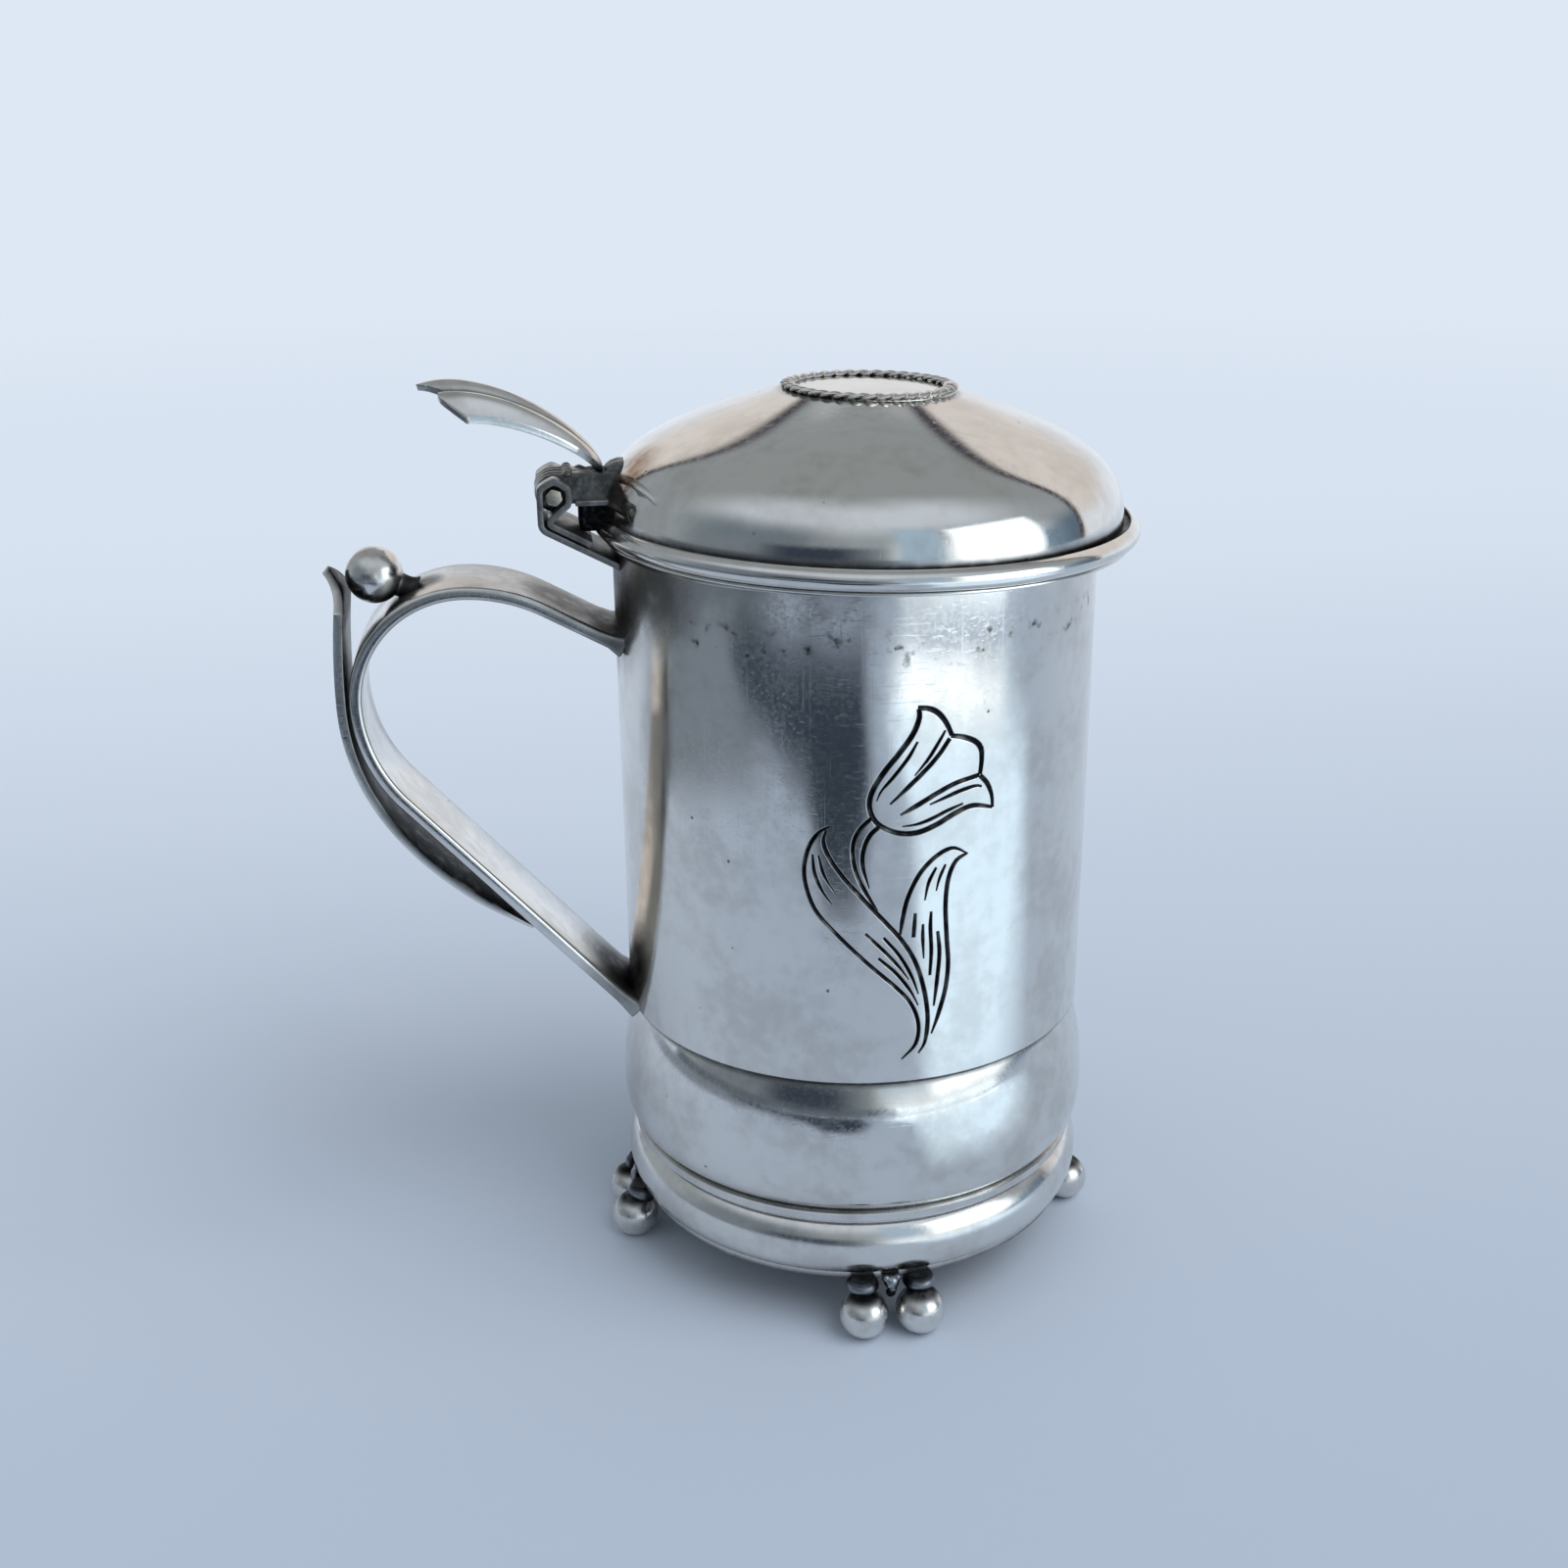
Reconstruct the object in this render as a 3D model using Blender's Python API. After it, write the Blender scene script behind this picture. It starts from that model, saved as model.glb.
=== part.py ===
"""Small lidded silver tankard: a plain barrel on four pairs of ball feet, with a strap handle.

Metres, +Z up. The table is at z = 0, the handle points to -X and the lid turns about an axis
along Y. The origin lies on the table under the middle of the whole object, so the barrel's own
axis stands to the +X side of it. Handle and hinge outlines are written as (reach, height) pairs,
where reach is the distance from the barrel's axis towards the handle.
"""
import math

import bmesh
import bpy
from mathutils import Vector

# Gap left between pieces that are soldered or that rest on each other
CLEAR = 0.0003

# Feet: balls in pairs, a bead above each ball and a granule between the two
BALL_RADIUS = 0.0025
BALL_FLAT = 0.00008
BALL_SPACING = 0.00625
BALL_OVERHANG = 0.0006
BEAD_RADIUS = 0.0010
BEAD_OVERLAP = 0.0002
BEAD_FULLNESS = 1.1
GRANULE_RADIUS = 0.00105
GRANULE_HEIGHT = 0.0021

# Foot ring
RING_UNDERSIDE = 0.0072
RING_HEIGHT = 0.0065
RING_SWELL = 0.0012
RING_EDGE_INSET = 0.0001
RING_NECK_INSET = 0.0007
RING_BORE_INSET = 0.0026

# Convex band between foot ring and barrel, with a flat fillet at its lower edge
BAND_HEIGHT = 0.0163
BAND_SWELL = 0.0010
BAND_END_INSET = 0.00035
FILLET_HEIGHT = 0.0010
FILLET_INSET = 0.0001
FILLET_GROOVE = 0.0004
BASE_THICKNESS = 0.0012

# Barrel
BARREL_RADIUS = 0.0260
BARREL_HEIGHT = 0.05315
BARREL_WALL = 0.0012
EDGE_CHAMFER = 0.0003

# Lid, set a little away from the hinge
LID_OFFSET = 0.0012
BEZEL_CLEARANCE = 0.0006
BEZEL_WALL = 0.0010
BEZEL_DEPTH = 0.0025
SEAT_HEIGHT = 0.00075
SEAT_OVERHANG = 0.00295
RIM_OVERHANG = 0.0032
RIM_HEIGHT = 0.00135
FLANGE_THICKNESS = 0.0008
LIP_INSET = 0.0006
LIP_THICKNESS = 0.0004
GUTTER = 0.0006
DOME_THICKNESS = 0.0009
DOME_RISE = 0.0122
DOME_SHOULDER = 0.0060
DOME_SLOPE_RUN = 0.01205
DOME_SLOPE_DROP = 0.0038
DOME_CROWN_RISE = 0.0007
ROPE_CIRCLE = 0.00845
ROPE_RADIUS = 0.00075
ROPE_WAIST = 0.00048
ROPE_TURNS = 18

# Hinge
PIN_OVERHANG = 0.0059
PIN_RISE = 0.0058
PIN_RADIUS = 0.00085
STRIP_THICKNESS = 0.0007
STRIP_DROP = 0.0019
STRIP_BEND_DROP = 0.0033
STRIP_BEND_RADIUS = 0.0011
EYE_WRAP = 245.0
HINGE_WIDTH = 0.0098
KNUCKLE_WIDTH = 0.0056
KNUCKLE_WALL = 0.0008
REED_COUNT = 4
REED_DEPTH = 0.00028
PLATE_DROP = 0.0011
RISER_HEIGHT = 0.0009

# Thumbpiece: a fluted shell with three lobes, sizes from the pin's axis
THUMB_ROOT_INSET = 0.0049
THUMB_REACH = 0.0132
THUMB_RISE = 0.0108
THUMB_ROOT_PULL = 0.0030
THUMB_TIP_PULL = (0.0071, 0.0024)
THUMB_THICKNESS = 0.00085
THUMB_ROOT_HALF_WIDTH = 0.0015
THUMB_TIP_HALF_WIDTH = 0.0052
THUMB_DROOP = 0.0030
FLUTE_DEPTH = 0.00085
LOBE_SETBACK = 0.15
NOTCH_SETBACK = 0.05

# Handle strap
HANDLE_DROP = 0.0101
HANDLE_RISE_ANGLE = 29.0
HANDLE_LEAD = 0.0086
HANDLE_SHOULDER_RADIUS = 0.0175
HANDLE_TURN_RADIUS = 0.0116
HANDLE_RETURN_RADIUS = 0.01685
HANDLE_FOOT_RISE = 0.0004
STRAP_WIDTH = 0.0108
STRAP_THICKNESS = 0.0014
STRAP_EDGE = 0.0003

# Outer leaf of the handle and its ball
LEAF_THICKNESS = 0.0010
LEAF_WIDTH = 0.0104
LEAF_EDGE = 0.0002
LEAF_LANDING = 0.0147
LEAF_LANDING_WIDTH = 0.0076
LEAF_SPLAY_ANGLE = 16.0
LEAF_UPPER_PULL = 0.0100
LEAF_LOWER_PULL = 0.0150
LEAF_STRAIGHT_RISE = 0.0100
LEAF_LEAN_RADIUS = 0.0800
LEAF_TIP_RADIUS = 0.0038
LEAF_TIP_ANGLE = 60.0
LEAF_TIP_WIDTH = 0.0008
HANDLE_BALL_RADIUS = 0.0030
HANDLE_BALL_ANGLE = 55.0
SEAT_PEG_RADIUS = 0.00125
SEAT_PEG_ANGLE = 66.0
SEAT_PEG_TAPER = 0.9

# Facets
LARGE_STEPS = 44
BALL_STEPS = 12
BEAD_STEPS = 8
TOOL_STEPS = 96
LEAF_TIP_STEPS = 6

# Heights and radii that follow from the sizes above
BALL_CENTRE = BALL_RADIUS - BALL_FLAT
RING_TOP = RING_UNDERSIDE + RING_HEIGHT
BAND_BOTTOM = RING_TOP + CLEAR
BAND_TOP = BAND_BOTTOM + BAND_HEIGHT
BARREL_BOTTOM = BAND_TOP + CLEAR
MOUTH = BARREL_BOTTOM + BARREL_HEIGHT
BARREL_BORE = BARREL_RADIUS - BARREL_WALL
RING_EDGE_RADIUS = BARREL_RADIUS - RING_EDGE_INSET
BALL_CIRCLE = RING_EDGE_RADIUS + BALL_OVERHANG
BEAD_CIRCLE = RING_EDGE_RADIUS - BEAD_OVERLAP
SEAT_BOTTOM = MOUTH + CLEAR
RIM_BOTTOM = SEAT_BOTTOM + SEAT_HEIGHT + CLEAR
FLANGE_TOP = RIM_BOTTOM + FLANGE_THICKNESS
RIM_RADIUS = BARREL_RADIUS + RIM_OVERHANG
BEZEL_RADIUS = BARREL_BORE - LID_OFFSET - BEZEL_CLEARANCE
FLANGE_BORE = BEZEL_RADIUS - BEZEL_WALL
LIP_RADIUS = RIM_RADIUS - LIP_INSET
DOME_RADIUS = LIP_RADIUS - LIP_THICKNESS - GUTTER
DOME_BASE = FLANGE_TOP + CLEAR
DOME_SHOULDER_TOP = DOME_BASE + DOME_RISE
PIN_REACH = BARREL_RADIUS + PIN_OVERHANG
PIN_HEIGHT = MOUTH + PIN_RISE
PIN_BORE = PIN_RADIUS + CLEAR
EYE_CENTRELINE = PIN_BORE + STRIP_THICKNESS / 2
KNUCKLE_RADIUS = PIN_BORE + KNUCKLE_WALL
PLATE_TOP = PIN_HEIGHT + KNUCKLE_RADIUS
THUMB_ROOT_REACH = PIN_REACH - THUMB_ROOT_INSET


def arc(centre, radius, start, end, count):
    """Points on an arc from angle start to angle end, both in degrees, ends included."""
    points = []
    for i in range(count + 1):
        angle = math.radians(start + (end - start) * i / count)
        points.append((centre[0] + radius * math.cos(angle), centre[1] + radius * math.sin(angle)))
    return points


def bezier(p0, p1, p2, p3, count):
    """Points on a cubic curve from p0 to p3, ends included."""
    points = []
    for i in range(count + 1):
        t = i / count
        weights = ((1 - t) ** 3, 3 * (1 - t) ** 2 * t, 3 * (1 - t) * t * t, t ** 3)
        points.append(tuple(sum(w * p[k] for w, p in zip(weights, (p0, p1, p2, p3))) for k in (0, 1)))
    return points


def normals(path):
    """Unit normals of a plane path, on the left of its direction."""
    result = []
    last = len(path) - 1
    for i in range(len(path)):
        before, after = path[max(i - 1, 0)], path[min(i + 1, last)]
        along = Vector((after[0] - before[0], after[1] - before[1])).normalized()
        result.append(Vector((-along.y, along.x)))
    return result


def at(reach, y, height):
    """A point given by its reach towards the handle, its place across and its height."""
    return Vector((-reach, y, height))


def finish(name, shade, roughness):
    """Silver with its own tone, for one piece."""
    material = bpy.data.materials.new(name + "_silver")
    material.use_nodes = True
    surface = material.node_tree.nodes["Principled BSDF"]
    surface.inputs["Base Color"].default_value = (shade, shade * 0.985, shade * 0.95, 1.0)
    surface.inputs["Metallic"].default_value = 1.0
    surface.inputs["Roughness"].default_value = roughness
    return material


def add_object(name, bm, parent, shade=0.62, roughness=0.25, smooth_angle=35.0):
    """Turns a bmesh, drawn about its parent's frame, into a named piece with its own material."""
    mesh = bpy.data.meshes.new(name)
    bm.to_mesh(mesh)
    bm.free()
    mesh.shade_smooth()
    mesh.set_sharp_from_angle(angle=math.radians(smooth_angle))
    piece = bpy.data.objects.new(name, mesh)
    bpy.context.scene.collection.objects.link(piece)
    mesh.materials.append(finish(name, shade, roughness))
    piece.parent = parent
    piece.location = -Vector(parent["drawn_about"])
    return piece


def add_empty(name, parent, place):
    """An empty at a place in the tankard's own drawing frame."""
    empty = bpy.data.objects.new(name, None)
    bpy.context.scene.collection.objects.link(empty)
    empty["drawn_about"] = place
    empty.parent = parent
    empty.location = place
    return empty


def turned(name, outline, parent, centre=(0.0, 0.0, 0.0), steps=LARGE_STEPS, closed=True, shade=0.62):
    """A piece turned about a vertical axis from an outline of (radius, height) points.

    The outline runs down the outer side first. A closed outline makes a ring, and an open one
    starts and ends on the axis.
    """
    bm = bmesh.new()
    verts = [bm.verts.new((radius, 0.0, height)) for radius, height in outline]
    for a, b in zip(verts, verts[1:] + verts[:1] if closed else verts[1:]):
        bm.edges.new((a, b))
    piece = add_object(name, bm, parent, shade)
    piece.location += Vector(centre)
    screw = piece.modifiers.new("turn", "SCREW")
    screw.axis = "Z"
    screw.steps = steps
    screw.render_steps = steps
    screw.use_merge_vertices = True
    screw.merge_threshold = 0.00001
    return piece


def loft(name, sections, parent, ring=False, strip_ends=False, shade=0.62):
    """A skin over matching closed sections, capped at both ends or joined into a ring.

    With strip_ends a section is two facing rows of points, and its end is capped row to row.
    """
    bm = bmesh.new()
    rows = [[bm.verts.new(point) for point in section] for section in sections]
    count = len(rows[0])
    for low, high in zip(rows, rows[1:] + rows[:1] if ring else rows[1:]):
        for i in range(count):
            j = (i + 1) % count
            bm.faces.new((low[i], low[j], high[j], high[i]))
    if strip_ends:
        for row in (rows[0], rows[-1]):
            for i in range(count // 2 - 1):
                bm.faces.new((row[i], row[i + 1], row[count - 2 - i], row[count - 1 - i]))
    elif not ring:
        bm.faces.new(rows[0])
        bm.faces.new(rows[-1])
    bmesh.ops.recalc_face_normals(bm, faces=bm.faces)
    return add_object(name, bm, parent, shade)


def strap(name, path, widths, thickness, edge, parent, shade=0.62):
    """A flat bar with eased edges that follows a path of (reach, height) points."""
    sections = []
    for (reach, height), normal, width in zip(path, normals(path), widths):
        half, side = thickness / 2, width / 2
        ease = min(edge, half / 2, side / 2)
        corners = ((half, side - ease), (half - ease, side), (ease - half, side), (-half, side - ease))
        outline = corners + tuple((-a, -b) for a, b in corners)
        sections.append([at(reach + normal.x * a, b, height + normal.y * a) for a, b in outline])
    return loft(name, sections, parent, shade=shade)


def cylinder(name, radius, length, parent, centre, axis, steps=32):
    """A plain cylinder about a centre, along Y or Z."""
    bm = bmesh.new()
    bmesh.ops.create_cone(bm, cap_ends=True, segments=steps, radius1=radius, radius2=radius, depth=length)
    if axis == "Y":
        bmesh.ops.rotate(bm, verts=bm.verts, matrix=Vector((0, 0, 1)).rotation_difference(
            Vector((0, 1, 0))).to_matrix())
    bmesh.ops.translate(bm, verts=bm.verts, vec=centre)
    return add_object(name, bm, parent)


def cut(piece, tool):
    """Cuts a piece with a tool, which is then hidden."""
    tool.hide_render = True
    tool.display_type = "WIRE"
    boolean = piece.modifiers.new("cut_by_" + tool.name, "BOOLEAN")
    boolean.operation = "DIFFERENCE"
    boolean.solver = "EXACT"
    boolean.object = tool


def handle_geometry():
    """Centreline of the handle strap, with the places that the leaf and the ball are set from.

    The strap leaves the barrel at a slope, levels out over a shoulder, turns down over the
    outermost point and comes back to the barrel's foot along a straight tangent.
    """
    rise = math.radians(HANDLE_RISE_ANGLE)
    start = (BARREL_RADIUS, MOUTH - HANDLE_DROP)
    inside = (start[0] - BARREL_WALL * math.cos(rise), start[1] - BARREL_WALL * math.sin(rise))
    lead_end = (start[0] + HANDLE_LEAD * math.cos(rise), start[1] + HANDLE_LEAD * math.sin(rise))
    shoulder = (lead_end[0] + HANDLE_SHOULDER_RADIUS * math.sin(rise),
                lead_end[1] - HANDLE_SHOULDER_RADIUS * math.cos(rise))
    turn = (shoulder[0], shoulder[1] + HANDLE_SHOULDER_RADIUS - HANDLE_TURN_RADIUS)
    back = (turn[0] + HANDLE_TURN_RADIUS - HANDLE_RETURN_RADIUS, turn[1])
    foot = (BARREL_RADIUS, BARREL_BOTTOM + HANDLE_FOOT_RISE)
    away = Vector((foot[0] - back[0], foot[1] - back[1]))
    tangent_angle = math.degrees(math.atan2(away.y, away.x) + math.acos(HANDLE_RETURN_RADIUS / away.length))
    tangent = arc(back, HANDLE_RETURN_RADIUS, tangent_angle, tangent_angle, 1)[0]
    along = Vector((tangent[0] - foot[0], tangent[1] - foot[1])).normalized()
    buried = (foot[0] - along.x * BARREL_WALL, foot[1] - along.y * BARREL_WALL)
    path = [inside, start, lead_end]
    path += arc(shoulder, HANDLE_SHOULDER_RADIUS, 90 + HANDLE_RISE_ANGLE, 90, 8)[1:]
    path += arc(turn, HANDLE_TURN_RADIUS, 90, 0, 16)[1:]
    path += arc(back, HANDLE_RETURN_RADIUS, 0, tangent_angle, 8)[1:]
    path += [foot, buried]
    return path, turn, foot, along


def leaf_path(turn, foot, along):
    """Centreline of the outer leaf, from its landing on the strap up to its free tip."""
    stand_off = STRAP_THICKNESS / 2 + CLEAR + LEAF_THICKNESS / 2
    outward = Vector((along.y, -along.x))
    landing = (foot[0] + along.x * LEAF_LANDING + outward.x * stand_off,
               foot[1] + along.y * LEAF_LANDING + outward.y * stand_off)
    contact = (turn[0] + HANDLE_TURN_RADIUS + stand_off, turn[1])
    splay = math.atan2(along.y, along.x) - math.radians(LEAF_SPLAY_ANGLE)
    lower = (landing[0] + LEAF_LOWER_PULL * math.cos(splay), landing[1] + LEAF_LOWER_PULL * math.sin(splay))
    upper = (contact[0], contact[1] - LEAF_UPPER_PULL)
    path = bezier(landing, lower, upper, contact, 14)
    lean_angle = math.degrees(math.asin(LEAF_STRAIGHT_RISE / LEAF_LEAN_RADIUS))
    path += arc((contact[0] - LEAF_LEAN_RADIUS, contact[1]), LEAF_LEAN_RADIUS, 0, lean_angle, 5)[1:]
    swing = math.radians(lean_angle)
    tip_centre = (path[-1][0] + LEAF_TIP_RADIUS * math.cos(swing),
                  path[-1][1] + LEAF_TIP_RADIUS * math.sin(swing))
    first = 180 + lean_angle
    path += arc(tip_centre, LEAF_TIP_RADIUS, first, first - LEAF_TIP_ANGLE, LEAF_TIP_STEPS)[1:]
    return path


def leaf_widths(path):
    """Width of the leaf along its path: it swells from the landing and runs to a point at the tip."""
    last_full = len(path) - 1 - LEAF_TIP_STEPS
    widths = []
    for i in range(len(path)):
        if i <= last_full:
            swell = math.sin(math.pi / 2 * i / last_full)
            widths.append(LEAF_LANDING_WIDTH + (LEAF_WIDTH - LEAF_LANDING_WIDTH) * swell)
        else:
            share = (i - last_full) / LEAF_TIP_STEPS
            widths.append(LEAF_WIDTH + (LEAF_TIP_WIDTH - LEAF_WIDTH) * share)
    return widths


def strip_path():
    """Centreline of the body's hinge strip: up from the barrel, round a bend and about the pin."""
    start = Vector((BARREL_BORE, MOUTH - STRIP_DROP))
    side = PIN_REACH + EYE_CENTRELINE
    corner = Vector((side, PIN_HEIGHT - STRIP_BEND_DROP))
    along = (corner - start).normalized()
    turn_angle = math.pi / 2 - math.atan2(along.y, along.x)
    setback = STRIP_BEND_RADIUS * math.tan(turn_angle / 2)
    bend_centre = (side - STRIP_BEND_RADIUS, corner.y + setback)
    bend_start = corner - along * setback
    path = [tuple(start), tuple(bend_start)]
    path += arc(bend_centre, STRIP_BEND_RADIUS, -math.degrees(turn_angle), 0, 5)[1:]
    path += arc((PIN_REACH, PIN_HEIGHT), EYE_CENTRELINE, 0, EYE_WRAP, 18)
    return path


def knuckle_outline(inset):
    """Side outline of the lid's hinge leaf, with its knuckle and top drawn in by the reeds' depth."""
    radius = KNUCKLE_RADIUS - inset
    inner = DOME_RADIUS - LID_OFFSET - DOME_SHOULDER
    riser = THUMB_ROOT_REACH - THUMB_THICKNESS / 2 - CLEAR
    low_angle = 180 + math.degrees(math.asin(PLATE_DROP / radius))
    points = [(inner, PIN_HEIGHT - PLATE_DROP)]
    points += arc((PIN_REACH, PIN_HEIGHT), radius, low_angle, 450, 16)
    riser_top = PLATE_TOP + RISER_HEIGHT
    points += [(riser, PIN_HEIGHT + radius), (riser, riser_top), (inner, riser_top)]
    return points


def dome_outline():
    """Outer side of the dome, from the axis down to its base."""
    base = (DOME_RADIUS, DOME_BASE)
    shoulder = (DOME_RADIUS, DOME_BASE + DOME_SHOULDER)
    slope = (ROPE_CIRCLE + DOME_SLOPE_RUN, DOME_SHOULDER_TOP - DOME_SLOPE_DROP)
    crown_foot = (ROPE_CIRCLE, DOME_SHOULDER_TOP)
    crown_top = (0.0, DOME_SHOULDER_TOP + DOME_CROWN_RISE)
    level = (ROPE_CIRCLE / 2, crown_top[1])
    side = bezier(crown_foot, slope, shoulder, base, 9)
    return bezier(crown_top, level, level, crown_foot, 3) + side[1:]


def make_body(tankard):
    """Barrel, band, foot ring and base plate, stacked on one axis."""
    chamfer = EDGE_CHAMFER
    turned("body_barrel", [
        (BARREL_RADIUS - chamfer, MOUTH), (BARREL_RADIUS, MOUTH - chamfer),
        (BARREL_RADIUS, BARREL_BOTTOM + BAND_END_INSET), (BARREL_RADIUS - BAND_END_INSET, BARREL_BOTTOM),
        (BARREL_BORE, BARREL_BOTTOM), (BARREL_BORE, MOUTH - chamfer), (BARREL_BORE + chamfer, MOUTH),
    ], tankard)
    end = BARREL_RADIUS - BAND_END_INSET
    full = BARREL_RADIUS + BAND_SWELL
    fillet = BARREL_RADIUS - FILLET_INSET
    low = BAND_BOTTOM + FILLET_HEIGHT
    pull = BAND_HEIGHT / 4
    groove = low + FILLET_GROOVE
    swell = bezier((end, BAND_TOP), (full, BAND_TOP - pull), (full, low + pull), (end, groove), 8)
    turned("lower_band", swell + [
        (end - FILLET_GROOVE / 2, low + FILLET_GROOVE / 2), (fillet, low), (fillet, BAND_BOTTOM),
        (BARREL_BORE, BAND_BOTTOM), (BARREL_BORE, BAND_TOP),
    ], tankard)
    neck = (BARREL_RADIUS - RING_NECK_INSET, RING_TOP)
    edge = (RING_EDGE_RADIUS, RING_UNDERSIDE)
    bulge = BARREL_RADIUS + RING_SWELL
    bore = BARREL_RADIUS - RING_BORE_INSET
    side = bezier(neck, (bulge, RING_TOP), (bulge, RING_UNDERSIDE + RING_HEIGHT / 6), edge, 8)
    turned("foot_ring", side + [(bore, RING_UNDERSIDE), (bore, RING_TOP)], tankard)
    disc = BARREL_BORE - CLEAR
    disc_top = BAND_BOTTOM + BASE_THICKNESS
    turned("base_plate", [(0.0, disc_top), (disc, disc_top), (disc, BAND_BOTTOM), (0.0, BAND_BOTTOM)],
           tankard, closed=False)


def make_feet(tankard):
    """Four pairs of balls under the foot ring, at the handle, the front, the far side and the back."""
    bead_low = BALL_CENTRE + BALL_RADIUS + CLEAR
    bead_high = RING_UNDERSIDE - CLEAR
    bead_half = (bead_high - bead_low) / 2
    bead_mid = (bead_high + bead_low) / 2
    flat_angle = math.degrees(math.acos((BALL_RADIUS - BALL_FLAT) / BALL_RADIUS))
    ball = arc((0.0, BALL_CENTRE), BALL_RADIUS, 90, -90 + flat_angle, 7) + [(0.0, 0.0)]
    face = BEAD_RADIUS / 2
    full = BEAD_RADIUS * BEAD_FULLNESS
    bead = [(0.0, bead_high)]
    bead += bezier((face, bead_high), (full, bead_mid + bead_half / 2),
                   (full, bead_mid - bead_half / 2), (face, bead_low), 5)
    bead += [(0.0, bead_low)]
    granule_mid = bead_high - GRANULE_HEIGHT / 2
    granule = [(GRANULE_RADIUS * r, granule_mid + GRANULE_HEIGHT / 2 * h)
               for r, h in arc((0.0, 0.0), 1.0, 90, -90, 6)]
    for side, turn in (("handle", 180), ("front", 270), ("far", 0), ("back", 90)):
        out = Vector((math.cos(math.radians(turn)), math.sin(math.radians(turn)), 0.0))
        across = Vector((-out.y, out.x, 0.0))
        for hand, sign in (("left", -1), ("right", 1)):
            shift = across * sign * BALL_SPACING / 2
            turned(f"ball_{side}_{hand}", ball, tankard, out * BALL_CIRCLE + shift, BALL_STEPS, False)
            turned(f"bead_{side}_{hand}", bead, tankard, out * BEAD_CIRCLE + shift, BEAD_STEPS, False, 0.5)
        turned(f"granule_{side}", granule, tankard, out * BEAD_CIRCLE, BEAD_STEPS, False, 0.5)


def make_handle(tankard):
    """Strap, outer leaf, and the ball held on a short peg between them."""
    path, turn, foot, along = handle_geometry()
    bar = strap("handle_strap", path, [STRAP_WIDTH] * len(path), STRAP_THICKNESS, STRAP_EDGE, tankard)
    reach = BARREL_RADIUS + CLEAR
    middle = (BARREL_BOTTOM + MOUTH) / 2
    cut(bar, cylinder("barrel_tool", reach, MOUTH * 2, tankard, (0.0, 0.0, middle), "Z", TOOL_STEPS))
    leaf = leaf_path(turn, foot, along)
    strap("handle_leaf", leaf, leaf_widths(leaf), LEAF_THICKNESS, LEAF_EDGE, tankard)
    rest = HANDLE_TURN_RADIUS + STRAP_THICKNESS / 2 + CLEAR
    ball_place = arc(turn, rest + HANDLE_BALL_RADIUS, HANDLE_BALL_ANGLE, HANDLE_BALL_ANGLE, 1)[0]
    globe = arc((0.0, 0.0), HANDLE_BALL_RADIUS, 90, -90, 12)
    globe = [(max(r, 0.0), h) for r, h in globe]
    turned("handle_ball", globe, tankard, at(ball_place[0], 0.0, ball_place[1]), BALL_STEPS + 6, False)
    root = arc(turn, HANDLE_TURN_RADIUS, SEAT_PEG_ANGLE, SEAT_PEG_ANGLE, 1)[0]
    lean = Vector((ball_place[0] - root[0], ball_place[1] - root[1]))
    bm = bmesh.new()
    bmesh.ops.create_cone(bm, cap_ends=True, segments=BALL_STEPS, radius1=SEAT_PEG_RADIUS,
                          radius2=SEAT_PEG_RADIUS * SEAT_PEG_TAPER, depth=lean.length)
    tilt = Vector((0, 0, 1)).rotation_difference(Vector((-lean.x, 0.0, lean.y)))
    bmesh.ops.rotate(bm, verts=bm.verts, matrix=tilt.to_matrix())
    bmesh.ops.translate(bm, verts=bm.verts, vec=at(root[0] + lean.x / 2, 0.0, root[1] + lean.y / 2))
    peg = add_object("ball_seat", bm, tankard, 0.4)
    cut(peg, cylinder("turn_tool", rest, STRAP_WIDTH, tankard, at(turn[0], 0.0, turn[1]), "Y", TOOL_STEPS))
    tool = bmesh.new()
    bmesh.ops.create_uvsphere(tool, u_segments=24, v_segments=16, radius=HANDLE_BALL_RADIUS + CLEAR)
    bmesh.ops.translate(tool, verts=tool.verts, vec=at(ball_place[0], 0.0, ball_place[1]))
    cut(peg, add_object("ball_tool", tool, tankard))
    return max(r for r, h in leaf) + LEAF_THICKNESS / 2


def make_body_hinge(tankard):
    """The strip that curls into two eyes round the pin, and the pin itself."""
    path = strip_path()
    widths = [HINGE_WIDTH] * len(path)
    strip = strap("body_hinge_leaf", path, widths, STRIP_THICKNESS, STRAP_EDGE / 2, tankard, 0.5)
    cut(strip, bpy.data.objects["barrel_tool"])
    slot = KNUCKLE_WIDTH + 2 * CLEAR
    place = at(PIN_REACH, 0.0, PIN_HEIGHT)
    cut(strip, cylinder("knuckle_tool", KNUCKLE_RADIUS + CLEAR, slot, tankard, place, "Y", TOOL_STEPS // 2))
    cylinder("hinge_pin", PIN_RADIUS, HINGE_WIDTH + CLEAR, tankard, place, "Y", 16)


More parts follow.
